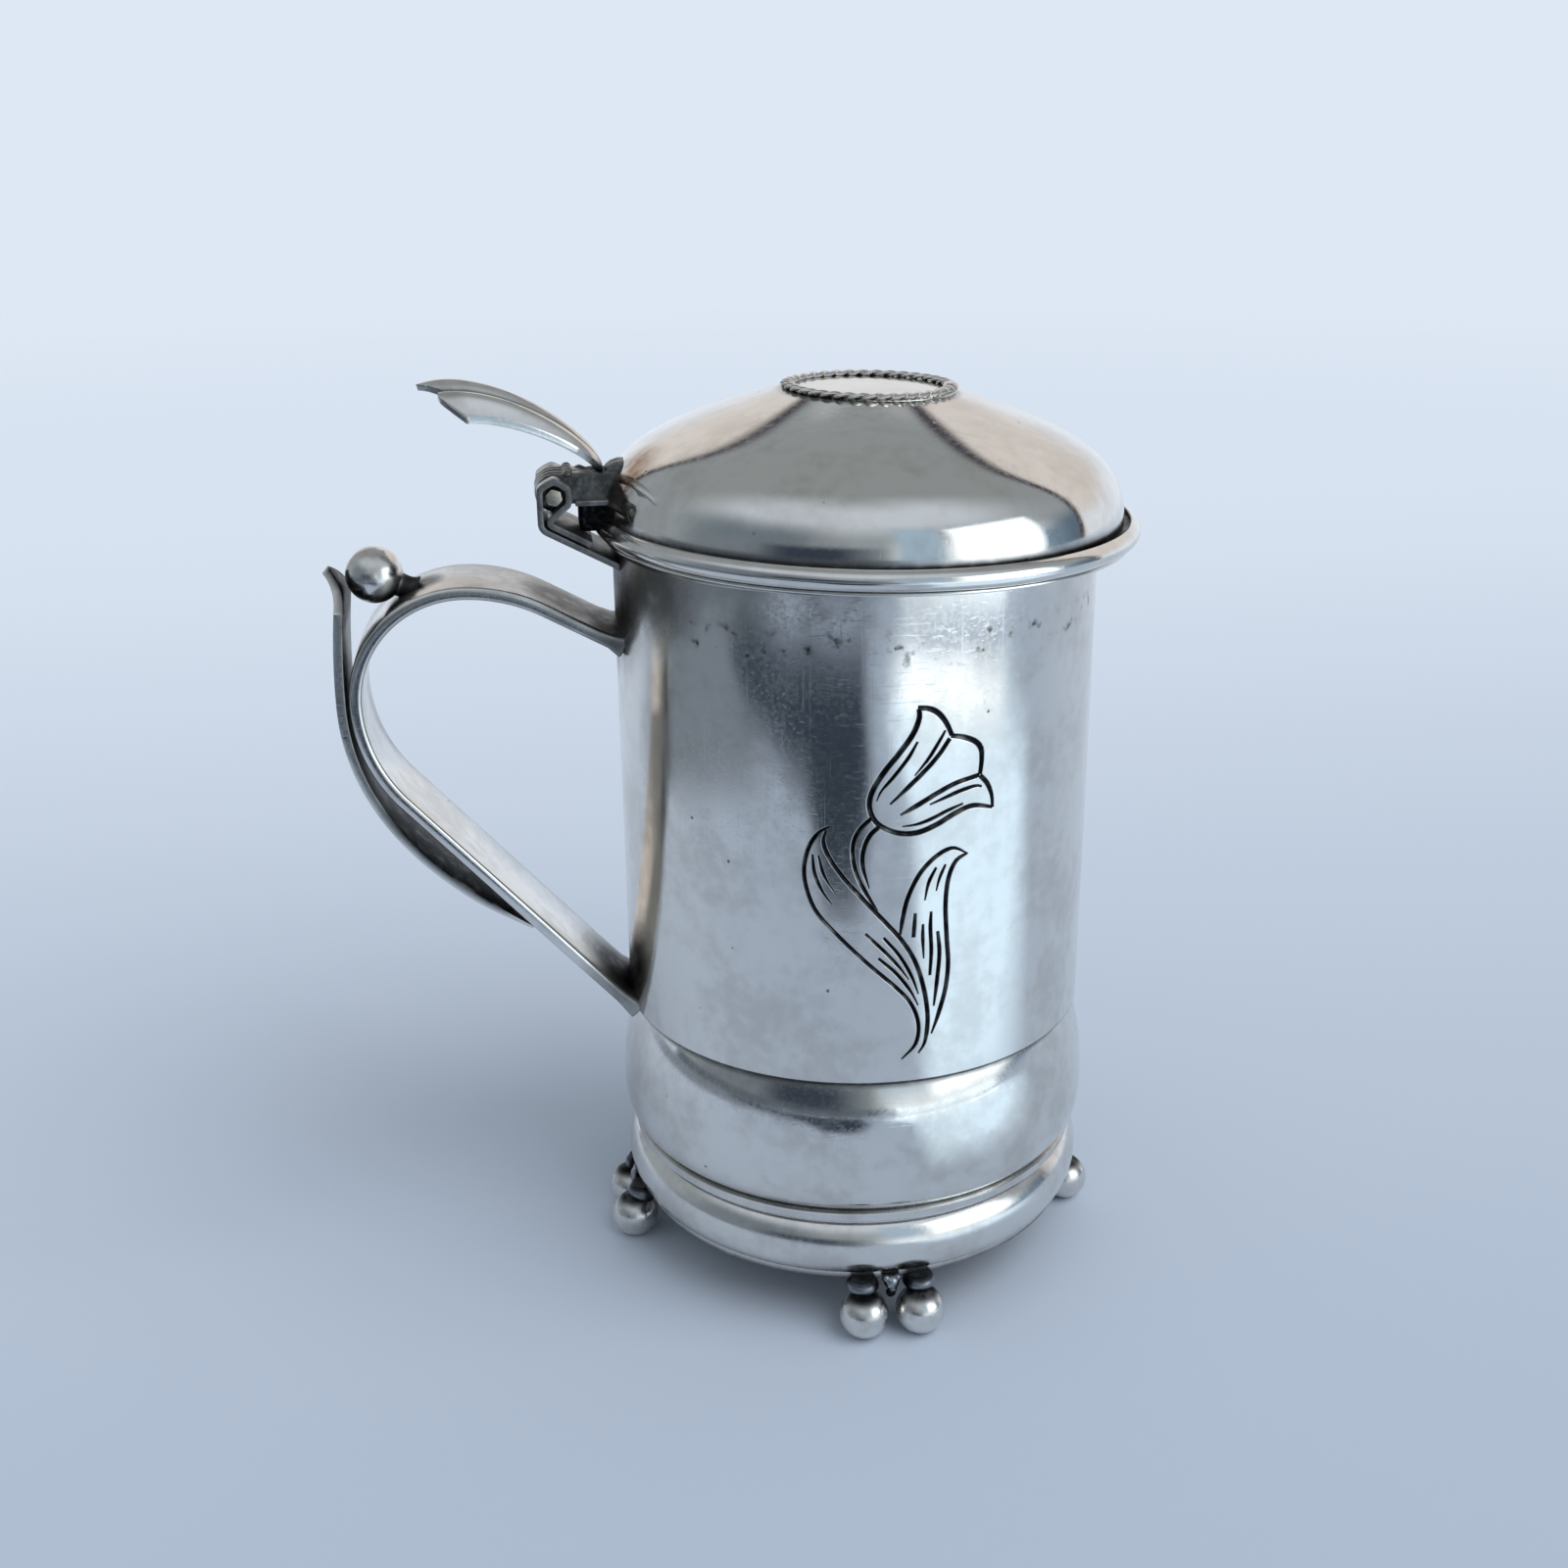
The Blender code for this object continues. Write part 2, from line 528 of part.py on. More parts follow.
def make_lid_hinge(lid_axis):
    """The reeded bracket with the middle knuckle, fitted to the dome, and the thumbpiece on it."""
    slices = REED_COUNT * 4
    sections = []
    for i in range(slices + 1):
        share = i / slices
        inset = REED_DEPTH * (1 - abs(math.sin(math.pi * REED_COUNT * share)))
        y = KNUCKLE_WIDTH * (share - 0.5)
        sections.append([at(reach, y, height) for reach, height in knuckle_outline(inset)])
    bracket = loft("lid_hinge_leaf", sections, lid_axis, shade=0.5)
    place = at(PIN_REACH, 0.0, PIN_HEIGHT)
    cut(bracket, cylinder("bore_tool", PIN_BORE, HINGE_WIDTH, lid_axis, place, "Y", 24))
    outer = dome_outline()
    grown = [(max(r + n.x * CLEAR, 0.0), h + n.y * CLEAR) for (r, h), n in zip(outer, normals(outer))]
    grown[0] = (0.0, grown[0][1])
    grown += [(grown[-1][0], RIM_BOTTOM), (0.0, RIM_BOTTOM)]
    cut(bracket, turned("dome_tool", grown, lid_axis, (LID_OFFSET, 0.0, 0.0), TOOL_STEPS, False))
    make_thumbpiece(lid_axis)


def make_thumbpiece(lid_axis):
    """A shell that widens and arches from its root, with three flutes that end in lobes."""
    root = (THUMB_ROOT_REACH, PLATE_TOP + CLEAR)
    tip = (PIN_REACH + THUMB_REACH, PIN_HEIGHT + THUMB_RISE)
    pull = (tip[0] - THUMB_TIP_PULL[0], tip[1] + THUMB_TIP_PULL[1])
    fine = 96
    path = bezier(root, (root[0], root[1] + THUMB_ROOT_PULL), pull, tip, fine)
    sides = normals(path)
    rows, columns = 10, 12
    sections = []
    for i in range(rows + 1):
        top, under = [], []
        for j in range(columns + 1):
            v = 2.0 * j / columns - 1.0
            flute = 1.0 - abs(math.cos(1.5 * math.pi * v))
            end = 1.0 - LOBE_SETBACK * abs(v) - NOTCH_SETBACK * flute
            u = end * i / rows
            k = round(u * fine)
            half = THUMB_ROOT_HALF_WIDTH + (THUMB_TIP_HALF_WIDTH - THUMB_ROOT_HALF_WIDTH) * u
            low = u * (THUMB_DROOP * v * v + FLUTE_DEPTH * flute)
            for row, face in ((top, THUMB_THICKNESS / 2), (under, -THUMB_THICKNESS / 2)):
                lift = sides[k] * (face - low)
                row.append(at(path[k][0] + lift.x, v * half, path[k][1] + lift.y))
        sections.append(top + under[::-1])
    loft("thumbpiece", sections, lid_axis, strip_ends=True)


def make_lid(lid_axis):
    """Bezel, seat ring, moulded rim, dome and rope ring, all turned about the lid's own axis."""
    centre = (LID_OFFSET, 0.0, 0.0)
    seat_top = SEAT_BOTTOM + SEAT_HEIGHT
    bore = BEZEL_RADIUS + CLEAR
    bead = SEAT_HEIGHT / 2
    bead_centre = (BARREL_RADIUS + SEAT_OVERHANG - bead, SEAT_BOTTOM + bead)
    turned("lid_seat_ring", arc(bead_centre, bead, 90, -90, 6) + [(bore, SEAT_BOTTOM), (bore, seat_top)],
           lid_axis, centre)
    bezel_top = RIM_BOTTOM - CLEAR
    bezel_low = MOUTH - BEZEL_DEPTH
    turned("lid_bezel", [(BEZEL_RADIUS, bezel_top), (BEZEL_RADIUS, bezel_low),
                         (FLANGE_BORE, bezel_low), (FLANGE_BORE, bezel_top)], lid_axis, centre)
    lip_top = RIM_BOTTOM + RIM_HEIGHT
    full = RIM_RADIUS + LIP_INSET / 3
    moulding = bezier((LIP_RADIUS, lip_top), (full, lip_top), (full, RIM_BOTTOM + RIM_HEIGHT / 4),
                      (LIP_RADIUS + LIP_INSET / 3, RIM_BOTTOM), 7)
    lip_inner = LIP_RADIUS - LIP_THICKNESS
    turned("lid_rim", moulding + [(FLANGE_BORE, RIM_BOTTOM), (FLANGE_BORE, FLANGE_TOP),
                                  (lip_inner, FLANGE_TOP), (lip_inner, lip_top)], lid_axis, centre)
    outer = dome_outline()
    inner = [(max(r + n.x * DOME_THICKNESS, 0.0), h + n.y * DOME_THICKNESS)
             for (r, h), n in zip(outer, [-n if n.y > 0 else n for n in normals(outer)])]
    inner[0] = (0.0, outer[0][1] - DOME_THICKNESS)
    inner[-1] = (DOME_RADIUS - DOME_THICKNESS, DOME_BASE)
    turned("lid_dome", outer + inner[::-1], lid_axis, centre, closed=False)
    make_rope(lid_axis)


def make_rope(lid_axis):
    """Two strands twisted together and bent into a ring, as one waisted tube that turns on itself."""
    around, across = ROPE_TURNS * 8, 6
    height = DOME_SHOULDER_TOP + ROPE_RADIUS + CLEAR
    sections = []
    for i in range(around):
        angle = 2 * math.pi * i / around
        out = Vector((math.cos(angle), math.sin(angle), 0.0))
        section = []
        for k in range(across):
            theta = 2 * math.pi * k / across
            lobe = math.cos(theta - ROPE_TURNS * angle) ** 2
            radius = ROPE_WAIST + (ROPE_RADIUS - ROPE_WAIST) * lobe
            spot = out * (ROPE_CIRCLE + radius * math.cos(theta))
            section.append(Vector((LID_OFFSET + spot.x, spot.y, height + radius * math.sin(theta))))
        sections.append(section)
    loft("rope_ring", sections, lid_axis, ring=True, shade=0.5)


def main():
    """Clears the scene and builds every piece under two empties."""
    for thing in list(bpy.data.objects):
        bpy.data.objects.remove(thing)
    tankard = add_empty("tankard", None, (0.0, 0.0, 0.0))
    lid_axis = add_empty("lid_axis", tankard, (-PIN_REACH, 0.0, PIN_HEIGHT))
    make_body(tankard)
    make_feet(tankard)
    handle_reach = make_handle(tankard)
    make_body_hinge(tankard)
    make_lid(lid_axis)
    make_lid_hinge(lid_axis)
    tankard.location.x = (handle_reach - LID_OFFSET - RIM_RADIUS) / 2
    bpy.context.view_layer.update()


main()
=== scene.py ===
"""Small lidded silver tankard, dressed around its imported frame.

Every piece is modelled in millimetres about the barrel's own axis, with +Z up and the handle
towards -X, and is then settled into the frame in metres. Handle and hinge outlines are written as
(reach, height) pairs, where reach is the distance from the barrel's axis towards the handle.
"""
from __future__ import annotations

import logging
import math
from collections.abc import Callable, Sequence
from dataclasses import dataclass, field
from enum import Enum

import bmesh
import bpy
import numpy as np
from mathutils import Matrix, Vector, noise

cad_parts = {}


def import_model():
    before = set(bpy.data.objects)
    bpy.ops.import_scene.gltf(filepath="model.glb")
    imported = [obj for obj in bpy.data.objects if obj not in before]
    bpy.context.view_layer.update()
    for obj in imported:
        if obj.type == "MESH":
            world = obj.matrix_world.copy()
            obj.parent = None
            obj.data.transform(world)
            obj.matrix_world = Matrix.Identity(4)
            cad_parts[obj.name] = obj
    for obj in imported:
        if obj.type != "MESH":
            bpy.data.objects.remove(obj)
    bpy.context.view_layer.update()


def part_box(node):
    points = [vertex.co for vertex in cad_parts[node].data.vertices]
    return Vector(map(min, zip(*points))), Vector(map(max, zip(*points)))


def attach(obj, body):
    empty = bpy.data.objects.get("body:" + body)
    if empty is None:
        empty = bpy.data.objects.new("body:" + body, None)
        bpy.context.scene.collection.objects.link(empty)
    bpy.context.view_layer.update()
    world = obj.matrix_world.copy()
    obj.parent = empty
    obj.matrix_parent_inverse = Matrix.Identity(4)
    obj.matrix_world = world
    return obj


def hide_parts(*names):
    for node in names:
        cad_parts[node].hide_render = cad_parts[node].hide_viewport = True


LOG = logging.getLogger("tankard")
MM = 0.001
# Point attribute of black: oxide in hollows, and painted shade in gutters, seams, creases and under parts.
OXIDE_AND_SHADE = "oxide_and_shade"
GLOW = "glow"
SOFT_RAMP = {"interpolation_type": "SMOOTHSTEP"}

Point = tuple[float, float]
Place = tuple[float, float, float]
Rule = Callable[[Vector], float]
Piece = bpy.types.Object
Tree = bpy.types.NodeTree
Socket = bpy.types.NodeSocket


class Body(Enum):
    """Rigid bodies of the frame that pieces ride on."""

    CUP = "body"
    LID = "lid"


class Slot(Enum):
    """Material slots of the record."""

    POLISHED = "polished_silver"
    OXIDISED = "oxidised_silver"


class Start(Enum):
    """Primitives that pieces start from."""

    PLANE = "plane"
    CUBE = "cube"
    CYLINDER = "cylinder"
    BALL = "uv_sphere"
    GRAIN = "ico_sphere"
    RING = "torus"


def linear(colour: str) -> tuple[float, float, float, float]:
    """Turns an sRGB hex colour into linear values with full alpha.

    Args:
        colour: six hex digits after a hash sign.

    Returns:
        Red, green, blue and alpha.
    """
    parts = [int(colour[i:i + 2], 16) / 255 for i in (1, 3, 5)]
    red, green, blue = (c / 12.92 if c <= 0.04045 else ((c + 0.055) / 1.055) ** 2.4 for c in parts)
    return red, green, blue, 1.0


def node(tree: Tree, kind: str, inputs: dict | None = None, out: int | str = 0,
         **settings: object) -> Socket | None:
    """Adds a shader node with its settings, and links or sets its inputs.

    Args:
        tree: the tree that takes the node.
        kind: the node's type name, without its first part.
        inputs: socket name or number to a value, or to an output socket to link.
        out: name or number of the output that is wanted.
        settings: attributes of the node itself.

    Returns:
        The wanted output, or None for a node that has no outputs.
    """
    made = tree.nodes.new("ShaderNode" + kind)
    for name, value in settings.items():
        setattr(made, name, value)
    for key, value in (inputs or {}).items():
        if isinstance(value, Socket):
            tree.links.new(value, made.inputs[key])
        else:
            made.inputs[key].default_value = value
    return made.outputs[out] if made.outputs else None


def arc(centre: Point, radius: float, start: float, end: float, count: int) -> list[Point]:
    """Points on an arc, ends included.

    Args:
        centre: the arc's centre.
        radius: its radius.
        start: first angle in degrees.
        end: last angle in degrees.
        count: number of steps.

    Returns:
        The points in order.
    """
    angles = [math.radians(start + (end - start) * i / count) for i in range(count + 1)]
    return [(centre[0] + radius * math.cos(a), centre[1] + radius * math.sin(a)) for a in angles]


def bezier(p0: Point, p1: Point, p2: Point, p3: Point, count: int) -> list[Point]:
    """Points on a cubic curve, ends included.

    Args:
        p0: start of the curve.
        p1: first handle.
        p2: second handle.
        p3: end of the curve.
        count: number of steps.

    Returns:
        The points in order.
    """
    t = np.linspace(0.0, 1.0, count + 1)[:, None]
    a, b, c, d = (np.array(p) for p in (p0, p1, p2, p3))
    curve = (1 - t) ** 3 * a + 3 * (1 - t) ** 2 * t * b + 3 * (1 - t) * t * t * c + t ** 3 * d
    return [(float(x), float(y)) for x, y in curve]


def spline(points: Sequence[Point], step: float) -> np.ndarray:
    """A smooth path through given points, resampled at an even step.

    Args:
        points: the points that the path passes.
        step: distance between the samples.

    Returns:
        Samples as rows of two numbers.
    """
    p = np.array(points, float)
    if len(p) == 2:
        dense = p[0] + np.linspace(0.0, 1.0, 40)[:, None] * (p[1] - p[0])
    else:
        padded = np.vstack([2 * p[0] - p[1], p, 2 * p[-1] - p[-2]])
        t = np.linspace(0.0, 1.0, 24, endpoint=False)[:, None]
        rows = []
        for a, b, c, d in zip(padded, padded[1:], padded[2:], padded[3:]):
            rows.append(0.5 * (2 * b + (c - a) * t + (2 * a - 5 * b + 4 * c - d) * t ** 2
                               + (3 * b - a - 3 * c + d) * t ** 3))
        dense = np.vstack(rows + [p[-1:]])
    along = np.concatenate([[0.0], np.cumsum(np.linalg.norm(np.diff(dense, axis=0), axis=1))])
    spots = np.linspace(0.0, along[-1], max(3, round(along[-1] / step) + 1))
    return np.stack([np.interp(spots, along, dense[:, k]) for k in (0, 1)], axis=1)


def path_normals(path: Sequence[Point]) -> list[Vector]:
    """Unit normals of a plane path, on the left of its direction.

    Args:
        path: the path's points.

    Returns:
        One normal for each point.
    """
    last = len(path) - 1
    found = []
    for i in range(len(path)):
        before, after = path[max(i - 1, 0)], path[min(i + 1, last)]
        along = Vector((after[0] - before[0], after[1] - before[1])).normalized()
        found.append(Vector((-along.y, along.x)))
    return found


def bar_section(spot: Point, normal: Vector, half: float, side: float) -> list[Vector]:
    """Square section of a bar at a spot of (reach, height), from its half thickness and half width."""
    corners = ((half, side), (-half, side), (-half, -side), (half, -side))
    return [Vector((-spot[0] - normal.x * a, b, spot[1] + normal.y * a)) for a, b in corners]


def smooth_step(low: float, high: float, value: float) -> float:
    """Goes from 0 at low to 1 at high with soft ends, whichever of the two is larger."""
    share = min(max((value - low) / (high - low), 0.0), 1.0)
    return share * share * (3 - 2 * share)


@dataclass(frozen=True)
class StainAndShade:
    """A soft spot of black oxide or painted shade, or of brown fire stain, in millimetres about the barrel's
    axis.
    """

    place: Place
    reach: float
    strength: float = 1.0
    burn: bool = False


@dataclass(frozen=True)
class Silver:
    """Silver alloy, raised and polished by hand, then worn and tarnished.

    To the eye it is a mirror that has gone soft: clear reflections with blurred edges, cloudy grey
    and brown patches, hairline scratches, a few pits, and black sulphide in every recess. The same
    black also paints shade into gutters, seams, creases and under parts.
    """

    name: str
    clean: str = "#e6e4e0"
    tarnish: str = "#b3aea6"
    black: str = "#1a1c20"
    burn: str = "#8a6a4c"
    roughness: float = 0.11
    haze: float = 0.05
    haze_mm: float = 0.45
    haze_range: Point = (0.42, 0.64)
    tarnish_share: float = 0.45
    tarnish_range: Point = (0.40, 0.66)
    tarnish_rough: float = 0.10
    patch_mm: float = 9.0
    mottle_mm: float = 1.6
    mottle_share: float = 0.35
    scratch_mm: float = 0.25
    scratch_run_mm: float = 14.0
    scratch_turn: Place = (0.2, 0.3, 0.1)
    scratch_leans: Point = (0.35, -0.25)
    scratch_range: Point = (0.60, 0.72)
    scratch_rough: float = 0.06
    scratch_depth_mm: float = 0.0012
    pit_spacing_mm: float = 3.2
    pit_edge: Point = (0.075, 0.03)
    pit_choice: Point = (0.70, 0.95)
    pit_black: float = 0.75
    pit_depth_mm: float = 0.02
    pit_relief: float = 0.8
    wave_mm: float = 11.0
    wave_depth_mm: float = 0.02
    oxide_and_shade_rough: float = 0.28
    oxide_and_shade_range: Point = (0.25, 0.55)
    oxide_and_shade_least: float = 0.86
    stains_and_shade: tuple[StainAndShade, ...] = ()
    stain_and_shade_core: float = 0.25
    ring_of_tarnish_and_shade: Point | None = None
    ring_core: float = 0.3
    speck_mm: float = 1.6
    speck_range: Point = (0.56, 0.74)

    def material(self, axis_x: float) -> bpy.types.Material:
        """Builds the finish as a node material on Object coordinates.

        Args:
            axis_x: where the barrel's axis stands in the frame, in metres.

        Returns:
            The material.
        """
        made = bpy.data.materials.new(self.name)
        made.use_nodes = True
        tree = made.node_tree
        surface = tree.nodes["Principled BSDF"].inputs
        surface["Metallic"].default_value = 1.0
        where = node(tree, "TexCoord", out="Object")
        patch, mottle, bloom, wave = (
            node(tree, "TexNoise", {"Vector": where, "Scale": 1 / (size * MM), "Detail": detail})
            for size, detail in ((self.patch_mm, 3.0), (self.mottle_mm, 4.0), (self.haze_mm, 2.0),
                                 (self.wave_mm, 1.0)))
        fine = node(tree, "Math", {0: mottle, 1: self.mottle_share}, operation="MULTIPLY")
        cloud = node(tree, "Math", {0: patch, 1: 1 - self.mottle_share, 2: fine}, operation="MULTIPLY_ADD")
        low, high = self.tarnish_range
        dull = node(tree, "MapRange", {"Value": cloud, "From Min": low, "From Max": high,
                                       "To Max": self.tarnish_share}, **SOFT_RAMP)
        scratch = self._scratches(tree, where)
        pits = self._pits(tree, where)
        oxide_and_shade = self._oxide_and_shade(tree, where, axis_x, mottle)
        layers = [(dull, self.tarnish), (pits, self.black)]
        for stain_and_shade in self.stains_and_shade:
            if stain_and_shade.burn:
                spot = self._spot(tree, where, axis_x, stain_and_shade)
                layers.append((node(tree, "Math", {0: spot, 1: mottle}, operation="MULTIPLY"), self.burn))
        shade = linear(self.clean)
        for mask, colour in layers + [(oxide_and_shade, self.black)]:
            shade = node(tree, "Mix", {0: mask, 6: shade, 7: linear(colour)}, 2, data_type="RGBA")
        tree.links.new(shade, surface["Base Color"])
        low, high = self.haze_range
        rough = node(tree, "MapRange", {"Value": bloom, "From Min": low, "From Max": high,
                                        "To Min": self.roughness, "To Max": self.roughness + self.haze},
                     **SOFT_RAMP)
        for mask, gain in ((dull, self.tarnish_rough), (scratch, self.scratch_rough),
                           (oxide_and_shade, self.oxide_and_shade_rough)):
            rough = node(tree, "Math", {0: mask, 1: gain, 2: rough}, operation="MULTIPLY_ADD")
        tree.links.new(rough, surface["Roughness"])
        relief = node(tree, "Bump", {"Strength": 1.0, "Distance": self.wave_depth_mm * MM, "Height": wave})
        for mask, depth, strength in ((scratch, self.scratch_depth_mm, 1.0),
                                      (pits, self.pit_depth_mm, self.pit_relief)):
            relief = node(tree, "Bump", {"Strength": strength, "Distance": depth * MM, "Height": mask,
                                         "Normal": relief}, invert=True)
        tree.links.new(relief, surface["Normal"])
        return made

    def _scratches(self, tree: Tree, where: Socket) -> Socket:
        """Polishing scratches in two directions, drawn wider than the real hairlines so that they show.

        Args:
            tree: the material's tree.
            where: the coordinates.

        Returns:
            A mask, 1 in a scratch.
        """
        fine, run = 1 / (self.scratch_mm * MM), 1 / (self.scratch_run_mm * MM)
        low, high = self.scratch_range
        masks = []
        for scale, lean in zip(((run, fine, fine), (fine, fine, run)), self.scratch_leans):
            turn = tuple(a + lean for a in self.scratch_turn)
            turned = node(tree, "Mapping", {"Vector": where, "Rotation": turn, "Scale": scale})
            streak = node(tree, "TexNoise", {"Vector": turned, "Scale": 1.0, "Detail": 2.0, "Roughness": 0.6})
            streak = node(tree, "MapRange", {"Value": streak, "From Min": low, "From Max": high}, **SOFT_RAMP)
            masks.append(streak)
        return node(tree, "Math", {0: masks[0], 1: masks[1]}, operation="MAXIMUM")

    def _pits(self, tree: Tree, where: Socket) -> Socket:
        """Scattered small pits, a tenth of their spacing across.

        Args:
            tree: the material's tree.
            where: the coordinates.

        Returns:
            A mask, up to the blackest that a pit gets.
        """
        cell = {"Vector": where, "Scale": 1 / (self.pit_spacing_mm * MM)}
        away = node(tree, "TexVoronoi", cell, "Distance")
        low, high = self.pit_edge
        spot = node(tree, "MapRange", {"Value": away, "From Min": low, "From Max": high}, **SOFT_RAMP)
        pick = node(tree, "SeparateColor", {"Color": node(tree, "TexVoronoi", cell, "Color")})
        low, high = self.pit_choice
        chosen = node(tree, "MapRange", {"Value": pick, "From Min": low, "From Max": high,
                                         "To Max": self.pit_black}, **SOFT_RAMP)
        return node(tree, "Math", {0: spot, 1: chosen}, operation="MULTIPLY")

    def _spot(self, tree: Tree, where: Socket, axis_x: float, stain_and_shade: StainAndShade) -> Socket:
        """One soft spot about a place.

        Args:
            tree: the material's tree.
            where: the coordinates.
            axis_x: where the barrel's axis stands, in metres.
            stain_and_shade: the spot.

        Returns:
            A mask, up to the spot's strength.
        """
        spot = (stain_and_shade.place[0] * MM + axis_x, stain_and_shade.place[1] * MM, stain_and_shade.place[2] * MM)
        away = node(tree, "VectorMath", {0: where, 1: spot}, "Value", operation="DISTANCE")
        reach = stain_and_shade.reach * MM
        return node(tree, "MapRange", {"Value": away, "From Min": reach, "From Max": self.stain_and_shade_core * reach,
                                       "To Max": stain_and_shade.strength}, **SOFT_RAMP)

    def _oxide_and_shade(self, tree: Tree, where: Socket, axis_x: float, mottle: Socket) -> Socket:
        """Black sulphide and painted shade: the piece's own dark recesses and shadows, and soft spots about
        chosen places.

        Args:
            tree: the material's tree.
            where: the coordinates.
            axis_x: where the barrel's axis stands, in metres.
            mottle: fine noise that breaks its edge.

        Returns:
            A mask, 1 where it is black.
        """
        total = node(tree, "Attribute", out="Fac", attribute_name=OXIDE_AND_SHADE)
        masks = [self._spot(tree, where, axis_x, stain_and_shade) for stain_and_shade in self.stains_and_shade if not stain_and_shade.burn]
        # a specked black ring at one height: oxide with painted shade
        if self.ring_of_tarnish_and_shade is not None:
            height, reach = (size * MM for size in self.ring_of_tarnish_and_shade)
            level = node(tree, "SeparateXYZ", {"Vector": where}, "Z")
            off = node(tree, "Math", {0: level, 1: height}, operation="SUBTRACT")
            off = node(tree, "Math", {0: off}, operation="ABSOLUTE")
            grain = node(tree, "TexNoise", {"Vector": where, "Scale": 1 / (self.speck_mm * MM),
                                            "Detail": 3.0})
            band, specks = (
                node(tree, "MapRange", {"Value": value, "From Min": low, "From Max": high}, **SOFT_RAMP)
                for value, (low, high) in ((off, (reach, self.ring_core * reach)), (grain, self.speck_range)))
            masks.append(node(tree, "Math", {0: band, 1: specks}, operation="MULTIPLY"))
        for mask in masks:
            total = node(tree, "Math", {0: total, 1: mask}, operation="MAXIMUM")
        low, high = self.oxide_and_shade_range
        kept = node(tree, "MapRange", {"Value": mottle, "From Min": low, "From Max": high,
                                       "To Min": self.oxide_and_shade_least}, **SOFT_RAMP)
        return node(tree, "Math", {0: total, 1: kept}, operation="MULTIPLY")


class Bench:
    """Modelling steps that all pieces share, done with Blender's own tools."""

    def __init__(self, axis_x: float) -> None:
        """Keeps where the barrel's axis stands in the frame, in metres."""
        self.axis_x = axis_x
        self.finishes: dict[Silver, bpy.types.Material] = {}

    @staticmethod
    def clear() -> None:
        """Leaves nothing selected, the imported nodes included."""
        bpy.ops.object.select_all(action="DESELECT")

    def take(self, piece: Piece) -> None:
        """Makes a piece the only selected and active one.

        Args:
            piece: the piece.
        """
        self.clear()
        piece.select_set(True)
        bpy.context.view_layer.objects.active = piece

    def edit(self, piece: Piece) -> None:
        """Opens a piece in edit mode with all of it selected.

        Args:
            piece: the piece.
        """
        self.take(piece)
        bpy.ops.object.mode_set(mode="EDIT")
        bpy.ops.mesh.select_all(action="SELECT")

    @staticmethod
    def close() -> None:
        """Goes back to object mode."""
        bpy.ops.object.mode_set(mode="OBJECT")

    def begin(self, name: str, start: Start, place: Place | Vector = (0.0, 0.0, 0.0),
              **sizes: object) -> Piece:
        """Adds a primitive with nothing else selected, and puts its place into its mesh.

        Args:
            name: the piece's name.
            start: the primitive.
            place: where its middle is.
            sizes: the primitive's settings.

        Returns:
            The piece, selected and active.
        """
        self.clear()
        getattr(bpy.ops.mesh, f"primitive_{start.value}_add")(location=place, **sizes)
        piece = bpy.context.object
        piece.name = name
        self.take(piece)
        bpy.ops.object.transform_apply(location=True, rotation=True, scale=True)
        return piece

    def turn(self, name: str, outline: Sequence[Point], steps: int = 160) -> Piece:
        """Spins an outline of (radius, height) points about the barrel's axis.

        Args:
            name: the piece's name.
            outline: the points in order; a ring's outline ends where it starts.
            steps: number of steps round.

        Returns:
            The turned piece.
        """
        self.clear()
        bpy.ops.mesh.primitive_plane_add(size=1.0, location=(outline[0][0], 0.0, outline[0][1]))
        piece = bpy.context.object
        piece.name = name
        self.edit(piece)
        bpy.ops.mesh.merge(type="CENTER")
        for (r0, z0), (r1, z1) in zip(outline, outline[1:]):
            bpy.ops.mesh.extrude_region_move(TRANSFORM_OT_translate={"value": (r1 - r0, 0.0, z1 - z0)})
        bpy.ops.mesh.select_all(action="SELECT")
        bpy.ops.mesh.spin(steps=steps, angle=2 * math.pi, center=(0.0, 0.0, 0.0), axis=(0.0, 0.0, 1.0))
        self.mend()
        self.close()
        self.take(piece)
        bpy.ops.object.transform_apply(location=True, rotation=True, scale=True)
        return piece

    @staticmethod
    def mend(gap: float = 0.0005) -> None:
        """Merges doubles and turns the normals out, in edit mode.

        Args:
            gap: greatest distance between doubles.
        """
        bpy.ops.mesh.select_all(action="SELECT")
        bpy.ops.mesh.remove_doubles(threshold=gap)
        bpy.ops.mesh.normals_make_consistent(inside=False)

    @staticmethod
    def skin(name: str, sections: Sequence[Sequence[Vector]], strip: bool = False) -> Piece:
        """A closed skin over matching sections, for shapes that no single tool bends.

        Args:
            name: the piece's name.
            sections: closed sections with the same number of points.
            strip: whether a section is two facing rows, capped row to row.

        Returns:
            The piece.
        """
        bm = bmesh.new()
        rows = [[bm.verts.new(p) for p in section] for section in sections]
        count = len(rows[0])
        for low, high in zip(rows, rows[1:]):
            for i in range(count):
                j = (i + 1) % count
                bm.faces.new((low[i], low[j], high[j], high[i]))
        for row in (rows[0], rows[-1]):
            if not strip:
                bm.faces.new(row)
                continue
            for i in range(count // 2 - 1):
                bm.faces.new((row[i], row[i + 1], row[count - 2 - i], row[count - 1 - i]))
        bmesh.ops.recalc_face_normals(bm, faces=bm.faces)
        mesh = bpy.data.meshes.new(name)
        bm.to_mesh(mesh)
        bm.free()
        piece = bpy.data.objects.new(name, mesh)
        bpy.context.scene.collection.objects.link(piece)
        return piece

